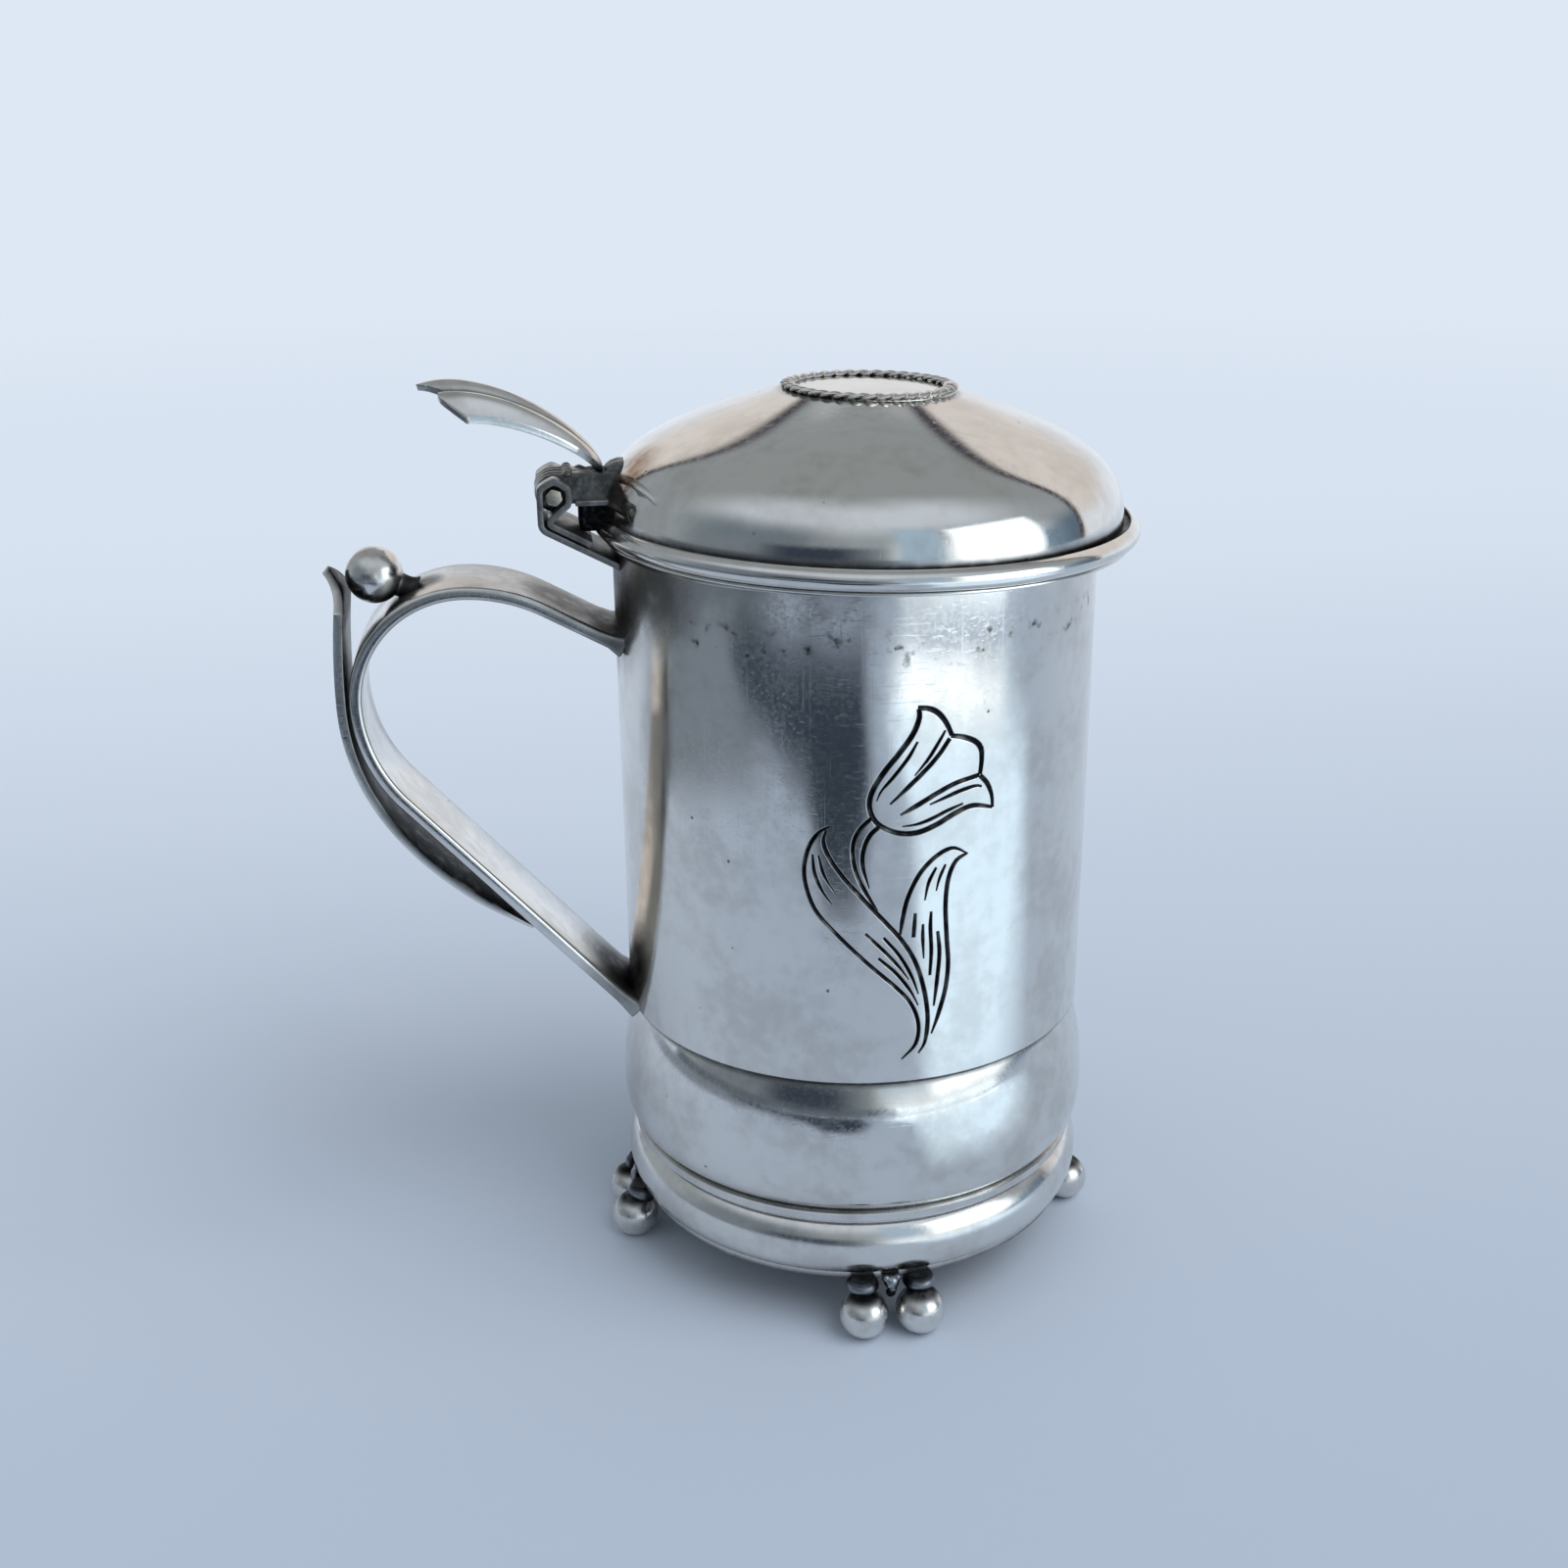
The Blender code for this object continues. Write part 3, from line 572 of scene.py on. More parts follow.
    def modify(self, piece: Piece, kind: str, **settings: object) -> None:
        """Adds a modifier with its settings and applies it.

        Args:
            piece: the piece.
            kind: the modifier's type.
            settings: its settings by name.
        """
        self.take(piece)
        made = piece.modifiers.new(kind.lower(), kind)
        for name, value in settings.items():
            setattr(made, name, value)
        bpy.ops.object.modifier_apply(modifier=made.name)

    def round_edges(self, piece: Piece, width: float, angle: float = 40.0, segments: int = 3) -> None:
        """Eases the sharp edges of a piece."""
        self.modify(piece, "BEVEL", width=width, segments=segments, limit_method="ANGLE",
                    angle_limit=math.radians(angle), harden_normals=False)

    def cut(self, piece: Piece, tool: Piece, itself: bool = False) -> None:
        """Cuts a piece with a tool and throws the tool away."""
        self.modify(piece, "BOOLEAN", operation="DIFFERENCE", solver="EXACT", object=tool, use_self=itself)
        bpy.data.objects.remove(tool)

    def join(self, pieces: Sequence[Piece], name: str) -> Piece:
        """Joins pieces into the first one, under a name.

        Args:
            pieces: the pieces.
            name: the joined piece's name.

        Returns:
            The joined piece.
        """
        self.clear()
        for piece in pieces:
            piece.select_set(True)
        bpy.context.view_layer.objects.active = pieces[0]
        bpy.ops.object.join()
        pieces[0].name = name
        return pieces[0]

    @staticmethod
    def copy(piece: Piece, name: str, place: Matrix) -> Piece:
        """Copies a piece with its own mesh to another place.

        Args:
            piece: the piece to copy.
            name: the copy's name.
            place: the move from the piece to the copy.

        Returns:
            The copy.
        """
        twin = piece.copy()
        twin.data = piece.data.copy()
        twin.name = name
        twin.data.transform(place)
        bpy.context.scene.collection.objects.link(twin)
        return twin

    @staticmethod
    def blacken(piece: Piece, rule: Rule) -> None:
        """Writes how black each point of a piece is, from 0 to 1, for its oxide and its painted shade.

        Args:
            piece: the piece, still in millimetres.
            rule: the share of black at a place.
        """
        layer = piece.data.attributes.new(OXIDE_AND_SHADE, "FLOAT", "POINT")
        layer.data.foreach_set("value", [min(max(rule(v.co), 0.0), 1.0) for v in piece.data.vertices])

    def settle(self, piece: Piece, finish: Silver, body: Body, *nodes: str,
               slot: Slot = Slot.POLISHED, angle: float | None = 38.0) -> None:
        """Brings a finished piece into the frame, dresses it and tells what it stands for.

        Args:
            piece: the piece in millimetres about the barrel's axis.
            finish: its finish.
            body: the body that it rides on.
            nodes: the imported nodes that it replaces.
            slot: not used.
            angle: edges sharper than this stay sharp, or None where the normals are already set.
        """
        piece.data.transform(Matrix.Translation((self.axis_x, 0.0, 0.0)) @ Matrix.Scale(MM, 4))
        if angle is not None:
            self.take(piece)
            bpy.ops.object.shade_smooth_by_angle(angle=math.radians(angle))
        if finish not in self.finishes:
            self.finishes[finish] = finish.material(self.axis_x)
        piece.data.materials.clear()
        piece.data.materials.append(self.finishes[finish])
        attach(piece, body.value)
        if nodes:
            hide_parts(*nodes)
        LOG.info("%s: %d faces, rides on %s", piece.name, len(piece.data.polygons), body.value)


@dataclass(frozen=True)
class Stroke:
    """One cut of the graver on the unrolled barrel: points of (along the wall, height)."""

    points: tuple[Point, ...]
    width: float
    start: float = 0.55
    end: float = 0.3


@dataclass
class Engraving:
    """A tulip with two leaves, cut into the front of the barrel."""

    radius: float = 26.0
    step: float = 0.45
    depth: float = 0.19
    boldness: float = 1.25
    lead_in: float = 1.6
    lead_out: float = 2.6
    bevel: float = 0.1
    bevel_least: float = 0.4
    bevel_depth: float = 0.035
    lift: float = 0.25
    flare: float = 1.35
    seam_line: float = 0.55
    crease_angle: float = 14.0
    flower: tuple[Stroke, ...] = (
        Stroke(((1.9, 71.95), (1.95, 71.0), (1.35, 69.4), (0.0, 67.5), (-1.5, 65.6), (-2.6, 63.7),
                (-2.9, 62.2), (-2.5, 60.75), (-1.5, 59.75), (0.2, 59.05), (2.0, 59.0), (4.0, 59.65),
                (6.0, 60.6), (8.0, 61.08), (10.3, 60.5)), 0.40, 0.8, 0.6),
        Stroke(((1.8, 72.05), (2.9, 71.9), (3.9, 71.35), (4.8, 70.2), (5.4, 68.9)), 0.42, 0.8, 0.8),
        Stroke(((5.3, 68.85), (6.6, 68.55), (8.0, 67.9), (8.7, 67.1), (8.85, 65.9), (8.7, 64.3)),
               0.42, 0.8, 0.8),
        Stroke(((5.2, 68.6), (4.2, 67.2), (3.0, 65.85), (1.0, 63.95), (-0.85, 62.2)), 0.32, 1.0, 0.4),
        Stroke(((4.7, 69.5), (4.0, 68.3), (3.0, 66.75), (1.6, 65.05)), 0.24),
        Stroke(((1.85, 68.6), (0.9, 66.95), (-0.6, 65.0), (-1.7, 63.7), (-2.2, 62.6)), 0.24),
        Stroke(((0.2, 61.0), (2.0, 61.95), (4.0, 63.0), (6.0, 63.8), (8.65, 64.25)), 0.36, 0.4, 1.0),
        Stroke(((8.7, 64.2), (9.6, 63.2), (10.2, 61.8), (10.35, 60.45)), 0.38, 0.9, 0.6),
        Stroke(((8.95, 62.95), (8.2, 63.15), (6.5, 62.9), (4.8, 62.4), (3.2, 61.85)), 0.30),
        Stroke(((6.85, 61.5), (5.0, 60.95), (3.5, 60.35), (2.0, 59.9), (0.4, 59.75)), 0.24),
    )
    stem: tuple[Stroke, ...] = (
        Stroke(((-2.6, 60.85), (-3.7, 59.8), (-4.4, 58.4), (-4.5, 56.8), (-4.1, 54.8), (-3.2, 52.8),
                (-2.0, 50.7)), 0.32, 0.9, 0.5),
        Stroke(((-1.75, 60.0), (-2.8, 59.0), (-3.45, 57.4), (-3.5, 55.6), (-2.85, 53.2)), 0.34, 0.9, 0.25),
    )
    left_leaf: tuple[Stroke, ...] = (
        Stroke(((-6.85, 59.85), (-7.9, 59.2), (-8.9, 57.6), (-9.4, 55.4), (-9.2, 53.2), (-8.2, 50.6),
                (-6.0, 48.0), (-3.0, 44.9), (0.0, 42.0), (1.6, 40.0), (2.45, 37.6), (2.2, 35.3),
                (0.7, 33.6)), 0.30),
        Stroke(((-7.15, 59.5), (-7.45, 58.3), (-7.0, 56.8), (-5.6, 54.6), (-3.6, 52.2), (-1.0, 49.2),
                (0.6, 47.2), (2.0, 44.7), (2.95, 41.6), (3.45, 38.2), (3.2, 35.4), (2.5, 34.1)), 0.34),
        Stroke(((-8.55, 56.8), (-8.35, 54.8), (-7.6, 52.9), (-6.6, 51.4)), 0.26),
        Stroke(((-7.95, 56.7), (-7.4, 54.6), (-6.3, 52.7)), 0.26),
        Stroke(((-3.2, 48.2), (-1.2, 46.1), (0.3, 44.3), (1.3, 42.8)), 0.26, 0.8, 0.3),
        Stroke(((-1.35, 47.7), (0.3, 45.6), (1.6, 43.2), (2.4, 41.0)), 0.26, 0.8, 0.3),
        Stroke(((-1.85, 45.4), (0.0, 43.6), (1.5, 41.5), (2.4, 39.7)), 0.26, 0.8, 0.3),
    )
    right_leaf: tuple[Stroke, ...] = (
        Stroke(((0.35, 47.9), (0.6, 49.8), (1.1, 52.0), (2.3, 54.5), (4.0, 56.2), (5.8, 56.85),
                (7.55, 55.95)), 0.32),
        Stroke(((7.4, 56.0), (6.2, 55.4), (5.4, 53.6), (5.15, 50.8), (5.35, 47.2), (5.6, 44.0),
                (5.35, 41.2), (4.7, 38.6), (3.9, 36.2)), 0.34, 0.6, 0.3),
        Stroke(((4.05, 55.0), (3.25, 53.4), (2.9, 51.5)), 0.28),
        Stroke(((5.05, 55.2), (4.4, 53.7), (4.1, 52.4)), 0.26),
        Stroke(((1.9, 50.2), (1.75, 47.5)), 0.32, 0.7, 0.9),
        Stroke(((2.75, 48.9), (2.75, 47.3), (2.9, 45.0)), 0.28),
        Stroke(((3.6, 50.2), (3.55, 48.4), (3.7, 45.8), (3.6, 43.0)), 0.28, 0.6, 0.7),
        Stroke(((4.35, 47.9), (4.6, 45.4), (4.4, 42.4), (4.1, 39.4)), 0.30, 0.7, 0.4),
    )

    def cutter(self, bench: Bench) -> Piece:
        """All the strokes as one cutting tool.

        Args:
            bench: the bench to work on.

        Returns:
            The tool, in millimetres.
        """
        tools = []
        for stroke in self.flower + self.stem + self.left_leaf + self.right_leaf:
            tools.append(bench.skin(f"stroke_{len(tools)}", self._sections(stroke)))
        return bench.join(tools, "graver_cuts")

    def _sections(self, stroke: Stroke) -> list[list[Vector]]:
        """Sections of one stroke: a narrow deep cut with a shallow bevel on each side.

        Args:
            stroke: the stroke.

        Returns:
            Closed sections along it.
        """
        path = spline(stroke.points, self.step)
        spots = [self._spot(a, z) for a, z in path]
        last = len(path) - 1
        sections = []
        for i, spot in enumerate(spots):
            along = (spots[min(i + 1, last)] - spots[max(i - 1, 0)]).normalized()
            out = Vector((spot.x, spot.y, 0.0)).normalized()
            side = out.cross(along).normalized()
            share = i / last
            ends = min(1.0, stroke.start + (1 - stroke.start) * share * last * self.step / self.lead_in,
                       stroke.end + (1 - stroke.end) * (1 - share) * last * self.step / self.lead_out)
            half = self.boldness * stroke.width / 2 * ends
            wide = half + self.bevel * (self.bevel_least + (1 - self.bevel_least) * ends)
            edge, deep = wide * self.flare, self.depth * ends
            outline = ((-edge, self.lift), (-wide, 0.0), (-half, -self.bevel_depth), (0.0, -deep),
                       (half, -self.bevel_depth), (wide, 0.0), (edge, self.lift))
            sections.append([spot + side * a + out * h for a, h in outline])
        return sections

    def _spot(self, along: float, height: float) -> Vector:
        """A place on the wall, from its distance along the wall and its height."""
        angle = along / self.radius
        return Vector((self.radius * math.sin(angle), -self.radius * math.cos(angle), height))

    def dress(self, piece: Piece, seam: float) -> None:
        """Blackens the cuts, paints shadow in the seam, and keeps the wall between them truly round to the
        light.

        Args:
            piece: the cut barrel, in millimetres.
            seam: height of the barrel's lower edge.
        """
        floor = self.radius - 0.9 * self.bevel_depth
        crest = self.radius - 0.1 * self.bevel_depth

        def black(p: Vector) -> float:
            """Black in the cuts, and painted shadow along the lower edge at the seam.

            Args:
                p: place on the piece.

            Returns:
                Share of black.
            """
            # painted shadow in the seam under the barrel's edge
            if p.z < seam + self.seam_line:
                return 1.0
            away = math.hypot(p.x, p.y)
            inside = away < self.radius - 2 * self.depth
            return 0.0 if inside else smooth_step(crest, floor, away)

        Bench.blacken(piece, black)
        mesh = piece.data
        mesh.shade_smooth()
        mesh.set_sharp_from_angle(angle=math.radians(self.crease_angle))
        normals = [Vector(n.vector) for n in mesh.corner_normals]
        for face in mesh.polygons:
            out = Vector((face.center.x, face.center.y, 0.0))
            if out.length < self.radius - 0.02 or face.normal.dot(out.normalized()) < 0.99:
                continue
            for corner in face.loop_indices:
                spot = mesh.vertices[mesh.loops[corner].vertex_index].co
                normals[corner] = Vector((spot.x, spot.y, 0.0)).normalized()
        mesh.normals_split_custom_set(normals)


@dataclass
class Cup:
    """Barrel, convex band, foot ring and floor, on one axis."""

    radius: float = 26.0
    wall: float = 1.2
    mouth: float = 83.75
    seam: float = 30.45
    notch: float = 0.5
    chamfer: float = 0.3
    barrel_rows: int = 22
    barrel_steps: int = 144
    inner_rows: int = 6
    seam_rows: Point = (1.2, 0.6)
    band_bottom: float = 13.85
    band_top: float = 25.15
    band_full: float = 27.0
    band_middle: float = 19.6
    band_upper: tuple[float, float, float] = (0.5, 0.93, 1.05)
    band_lower: tuple[float, float, float] = (2.0, 0.3, 0.8)
    fillet_height: float = 1.0
    fillet_inset: float = 0.1
    fillet_groove: float = 0.4
    fillet_ease: float = 0.1
    ring_bottom: float = 6.5
    ring_swell: float = 0.8
    ring_depth: float = 3.0
    ring_sweep: Point = (60.0, -56.0)
    ring_neck: float = 0.7
    ring_edge: float = 0.55
    ring_bore: float = 2.6
    floor_thickness: float = 1.2
    floor_lift: float = 0.15
    floor_gap: float = 0.02
    floor_dish: float = 0.2
    floor_corner: float = 0.9
    engraving: Engraving = field(default_factory=Engraving)
    # Near the top by the hinge the black spots and the specked ring at 78 mm are oxide with painted shade
    # under the rim; the spots at the handle's joints are oxide.
    barrel_finish: Silver = Silver(
        "raised_silver_barrel", roughness=0.10, haze=0.03, tarnish_share=0.4, ring_of_tarnish_and_shade=(78.0, 2.4),
        stains_and_shade=(StainAndShade((-26.0, 0.0, 73.6), 6.0, 0.8), StainAndShade((-26.0, 0.0, 32.0), 7.5, 0.9),
                StainAndShade((-25.5, -3.0, 79.5), 11.0, 1.0), StainAndShade((-22.0, -12.5, 81.5), 8.0, 0.75)))
    band_finish: Silver = Silver("raised_silver_band", roughness=0.08)
    ring_finish: Silver = Silver("raised_silver_foot_ring", roughness=0.15)
    floor_finish: Silver = Silver("dull_silver_cup_floor", roughness=0.3, tarnish_share=0.8)

    @property
    def bore(self) -> float:
        """Inner radius of the cup."""
        return self.radius - self.wall

    def build(self, bench: Bench) -> None:
        """Makes and dresses the four pieces.

        Args:
            bench: the bench to work on.
        """
        self._barrel(bench)
        self._band(bench)
        self._ring(bench)
        self._floor(bench)

    def _barrel(self, bench: Bench) -> None:
        """The plain wall, with the tulip cut into it.

        Args:
            bench: the bench to work on.
        """
        near, nearest = self.seam_rows
        heights = np.linspace(self.mouth - self.chamfer, self.seam + near, self.barrel_rows)
        rows = [(self.radius, z) for z in (*heights, self.seam + nearest, self.seam + self.notch)]
        inner = [(self.bore, z) for z in np.linspace(self.seam, self.mouth - self.chamfer, self.inner_rows)]
        outline = [(self.radius - self.chamfer, self.mouth)] + rows
        outline += [(self.radius - self.notch, self.seam)] + inner
        outline += [(self.bore + self.chamfer, self.mouth), outline[0]]
        piece = bench.turn("silver_barrel", outline, self.barrel_steps)
        bench.cut(piece, self.engraving.cutter(bench), itself=True)
        self.engraving.dress(piece, self.seam)
        bench.settle(piece, self.barrel_finish, Body.CUP, "body_barrel", angle=None)

    def _band(self, bench: Bench) -> None:
        """The convex band, with a groove and a flat fillet at its lower edge.

        Args:
            bench: the bench to work on.
        """
        end, flat, ease = self.radius - self.notch, self.radius - self.fillet_inset, self.fillet_ease
        full, middle, bottom = self.band_full, self.band_middle, self.band_bottom
        low = bottom + self.fillet_height
        groove = low + self.fillet_groove
        third = (self.seam - middle) / 3
        inset, pull, swell = self.band_upper
        outline = bezier((self.band_top, self.seam), (full - inset, self.seam - pull * third),
                         (full, middle + swell * third), (full, middle), 30)
        drop, inset, rise = self.band_lower
        outline += bezier((full, middle), (full, middle - drop), (full - inset, groove + rise),
                          (end, groove), 18)[1:]
        outline += [(end - self.fillet_groove / 2, low + self.fillet_groove / 2), (flat - ease, low),
                    (flat, low - ease), (flat, bottom + ease), (flat - ease, bottom), (self.bore, bottom),
                    (self.bore, self.seam), outline[0]]
        piece = bench.turn("silver_band", outline)

        def black(p: Vector) -> float:
            """Painted shadow in the seam under the barrel, and black in the groove and the fillet's corner.

            Args:
                p: place on the piece.

            Returns:
                Share of black.
            """
            reach = math.hypot(p.x, p.y)
            if reach < self.bore + 0.2:
                return 0.3
            # painted shadow in the seam
            top = smooth_step(self.seam - 0.55, self.seam - 0.15, p.z)
            low_line = 0.7 * smooth_step(0.35, 0.05, abs(p.z - low - self.fillet_groove / 2))
            return max(top, low_line, 0.6 * smooth_step(0.12, 0.0, p.z - bottom))

        bench.blacken(piece, black)
        bench.settle(piece, self.band_finish, Body.CUP, "lower_band")

    def _ring(self, bench: Bench) -> None:
        """The rounded foot ring, open underneath.

        Args:
            bench: the bench to work on.
        """
        neck = (self.radius - self.ring_neck, self.band_bottom)
        edge = (self.radius - self.ring_edge, self.ring_bottom)
        tall, deep = (self.band_bottom - self.ring_bottom) / 2, self.ring_depth
        middle = (self.radius + self.ring_swell - deep, self.ring_bottom + tall)
        bore = self.radius - self.ring_bore
        round_side = arc((0.0, 0.0), 1.0, *self.ring_sweep, 40)
        outline = [neck] + [(middle[0] + deep * x, middle[1] + tall * y) for x, y in round_side]
        outline += [edge, (bore, self.ring_bottom), (bore, self.band_bottom), neck]
        piece = bench.turn("silver_foot_ring", outline)

        def black(p: Vector) -> float:
            """Black in the neck and along the lower edge.

            Args:
                p: place on the piece.

            Returns:
                Share of black.
            """
            if math.hypot(p.x, p.y) < self.radius - 1.2:
                return 0.85
            return max(0.8 * smooth_step(self.band_bottom - 0.3, self.band_bottom, p.z),
                       0.8 * smooth_step(self.ring_bottom + 0.7, self.ring_bottom, p.z))

        bench.blacken(piece, black)
        bench.settle(piece, self.ring_finish, Body.CUP, "foot_ring")

    def _floor(self, bench: Bench) -> None:
        """The disc that closes the cup, dished a little and filleted to the wall.

        Args:
            bench: the bench to work on.
        """
        edge, dish, corner = self.bore - self.floor_gap, self.floor_dish, self.floor_corner
        bottom = self.band_bottom + self.floor_lift
        top = bottom + self.floor_thickness
        outline = [(0.0, top - dish)]
        outline += bezier((2.0, top - dish), (12.0, top - 0.9 * dish), (edge - 4.0, top),
                          (edge - corner, top), 10)
        outline += arc((edge - corner, top + corner), corner, -90, -10, 6)[1:]
        outline += [(edge, top + 0.75), (edge, bottom), (0.0, bottom)]
        piece = bench.turn("silver_cup_floor", outline, 96)
        bench.blacken(piece, lambda p: smooth_step(edge - 3.0, edge, math.hypot(p.x, p.y)) * 0.8)
        bench.settle(piece, self.floor_finish, Body.CUP, "base_plate")


@dataclass
class Feet:
    """Four pairs of balls, each ball hung on a bead, with a cluster of grains between the two."""

    ball: float = 2.72
    ball_height: float = 2.64
    circle: float = 26.35
    spacing: float = 6.25
    spin: float = 0.5
    bead_circle: float = 25.25
    bead_bottom: float = 4.7
    bead_top: float = 6.7
    bead: float = 1.8
    bead_squash: float = 0.62
    bead_flare: float = 1.3
    solder: float = 0.2
    grain: float = 1.1
    grain_height: float = 5.75
    grain_voxel: float = 0.09
    lumps: tuple[tuple[float, float, float, float], ...] = (
        (0.5, 0.0, 0.3, 0.78), (0.6, 0.6, 0.85, 0.42), (0.55, -0.65, 0.8, 0.4), (0.75, 0.12, -0.5, 0.42),
        (0.2, 0.0, -1.3, 0.5))
    sides: tuple[tuple[str, float, float], ...] = (
        ("handle", 180.0, 0.4), ("front", 270.0, 0.1), ("far", 0.0, -0.3), ("back", 90.0, 0.0))
    ball_finish: Silver = Silver("cast_silver_ball", roughness=0.20, tarnish_share=0.5, patch_mm=3.0,
                                 wave_depth_mm=0.01, pit_spacing_mm=1.8)
    # Darker silver all over: oxide, with painted shade from the foot ring above; the grains share it.
    shaded_bead_finish: Silver = Silver("oxidised_shaded_silver_bead", clean="#a3a7ad", tarnish="#565a60", roughness=0.22,
                                 patch_mm=1.2, wave_mm=2.0)

    def build(self, bench: Bench) -> None:
        """Makes one ball, one bead and one grain cluster, and copies them round.

        Args:
            bench: the bench to work on.
        """
        ball, bead, grains = self._ball(bench), self._bead(bench), self._grains(bench)
        for side, angle, out in self.sides:
            turn = Matrix.Rotation(math.radians(angle), 4, "Z") @ Matrix.Translation((out, 0.0, 0.0))
            for hand, sign in (("left", -1), ("right", 1)):
                across = sign * self.spacing / 2
                spin = Matrix.Rotation(self.spin * sign, 4, "Z")
                place = turn @ Matrix.Translation((self.circle, across, 0.0)) @ spin
                twin = bench.copy(ball, f"silver_foot_ball_{side}_{hand}", place)
                bench.settle(twin, self.ball_finish, Body.CUP, f"ball_{side}_{hand}")
                place = turn @ Matrix.Translation((self.bead_circle, across, 0.0)) @ spin
                twin = bench.copy(bead, f"silver_foot_bead_{side}_{hand}", place)
                bench.settle(twin, self.shaded_bead_finish, Body.CUP, f"bead_{side}_{hand}", slot=Slot.OXIDISED)
            place = turn @ Matrix.Translation((self.bead_circle, 0.0, 0.0))
            twin = bench.copy(grains, f"silver_foot_grains_{side}", place)
            bench.settle(twin, self.shaded_bead_finish, Body.CUP, f"granule_{side}", slot=Slot.OXIDISED)
        for pattern in (ball, bead, grains):
            bpy.data.objects.remove(pattern)

    def _ball(self, bench: Bench) -> Piece:
        """A cast ball with a worn flat underneath, black at the top where it is soldered.

        Args:
            bench: the bench to work on.

        Returns:
            The pattern ball, over the origin.
        """
        piece = bench.begin("pattern_ball", Start.BALL, (0.0, 0.0, self.ball_height), segments=40,
                            ring_count=26, radius=self.ball)
        bench.edit(piece)
        bpy.ops.mesh.bisect(plane_co=(0.0, 0.0, 0.0), plane_no=(0.0, 0.0, 1.0), clear_inner=True,
                            use_fill=True)
        bench.mend()
        bench.close()

        def black(p: Vector) -> float:
            """Black at the solder on top, along the worn flat and towards the cup's axis.

            Args:
                p: place on the piece.

            Returns:
                Share of black.
            """
            rise = p.z - self.ball_height
            return max(smooth_step(1.5, 2.4, rise), 0.5 * smooth_step(0.4, 0.0, p.z),
                       0.8 * smooth_step(0.9, 2.4, -p.x + 0.4 * rise))

        bench.blacken(piece, black)
        return piece

    def _bead(self, bench: Bench) -> Piece:
        """The round bead between ball and ring, with a little solder at both ends.

        Args:
            bench: the bench to work on.

        Returns:
            The pattern bead, over the origin.
        """
        low, high, flare = self.bead_bottom, self.bead_top, self.bead_flare
        mid = (low + high) / 2
        outline = [(0.0, high), (flare, high), (flare * 0.9, high - self.solder)]
        round_side = arc((0.0, mid), self.bead, 56, -56, 18)
        outline += [(x, mid + self.bead_squash * (z - mid)) for x, z in round_side]
        outline += [(flare * 0.9, low + self.solder), (flare, low), (0.0, low)]
        piece = bench.turn("pattern_bead", outline, 32)

        def black(p: Vector) -> float:
            """Painted shade under the ring, with oxide: grey all over, black at both ends and towards the
            cup's axis, leaving a lighter middle band as a painted highlight.
            """
            ends = 0.9 * smooth_step(0.25, 0.65, abs(p.z - mid))
            return max(0.3, ends, smooth_step(1.3, 0.5, p.x))

        bench.blacken(piece, black)
        return piece

    def _grains(self, bench: Bench) -> Piece:
        """A large grain between the balls, with small ones fused round it.

        Args:
            bench: the bench to work on.

        Returns:
            The pattern cluster, over the origin.
        """
        pieces = []
        for x, y, z, size in self.lumps:
            pieces.append(bench.begin("grain", Start.GRAIN, (x, y, self.grain_height + z), subdivisions=3,
                                      radius=self.grain * size))
        piece = bench.join(pieces, "pattern_grains")
        bench.modify(piece, "REMESH", mode="VOXEL", voxel_size=self.grain_voxel)
        bench.modify(piece, "SMOOTH", factor=0.5, iterations=3)

        def black(p: Vector) -> float:
            """Painted shade towards the cup's axis and underneath."""
            return max(smooth_step(1.1, 0.5, p.x), smooth_step(-0.2, -0.7, p.z - self.grain_height))

        bench.blacken(piece, black)
        return piece


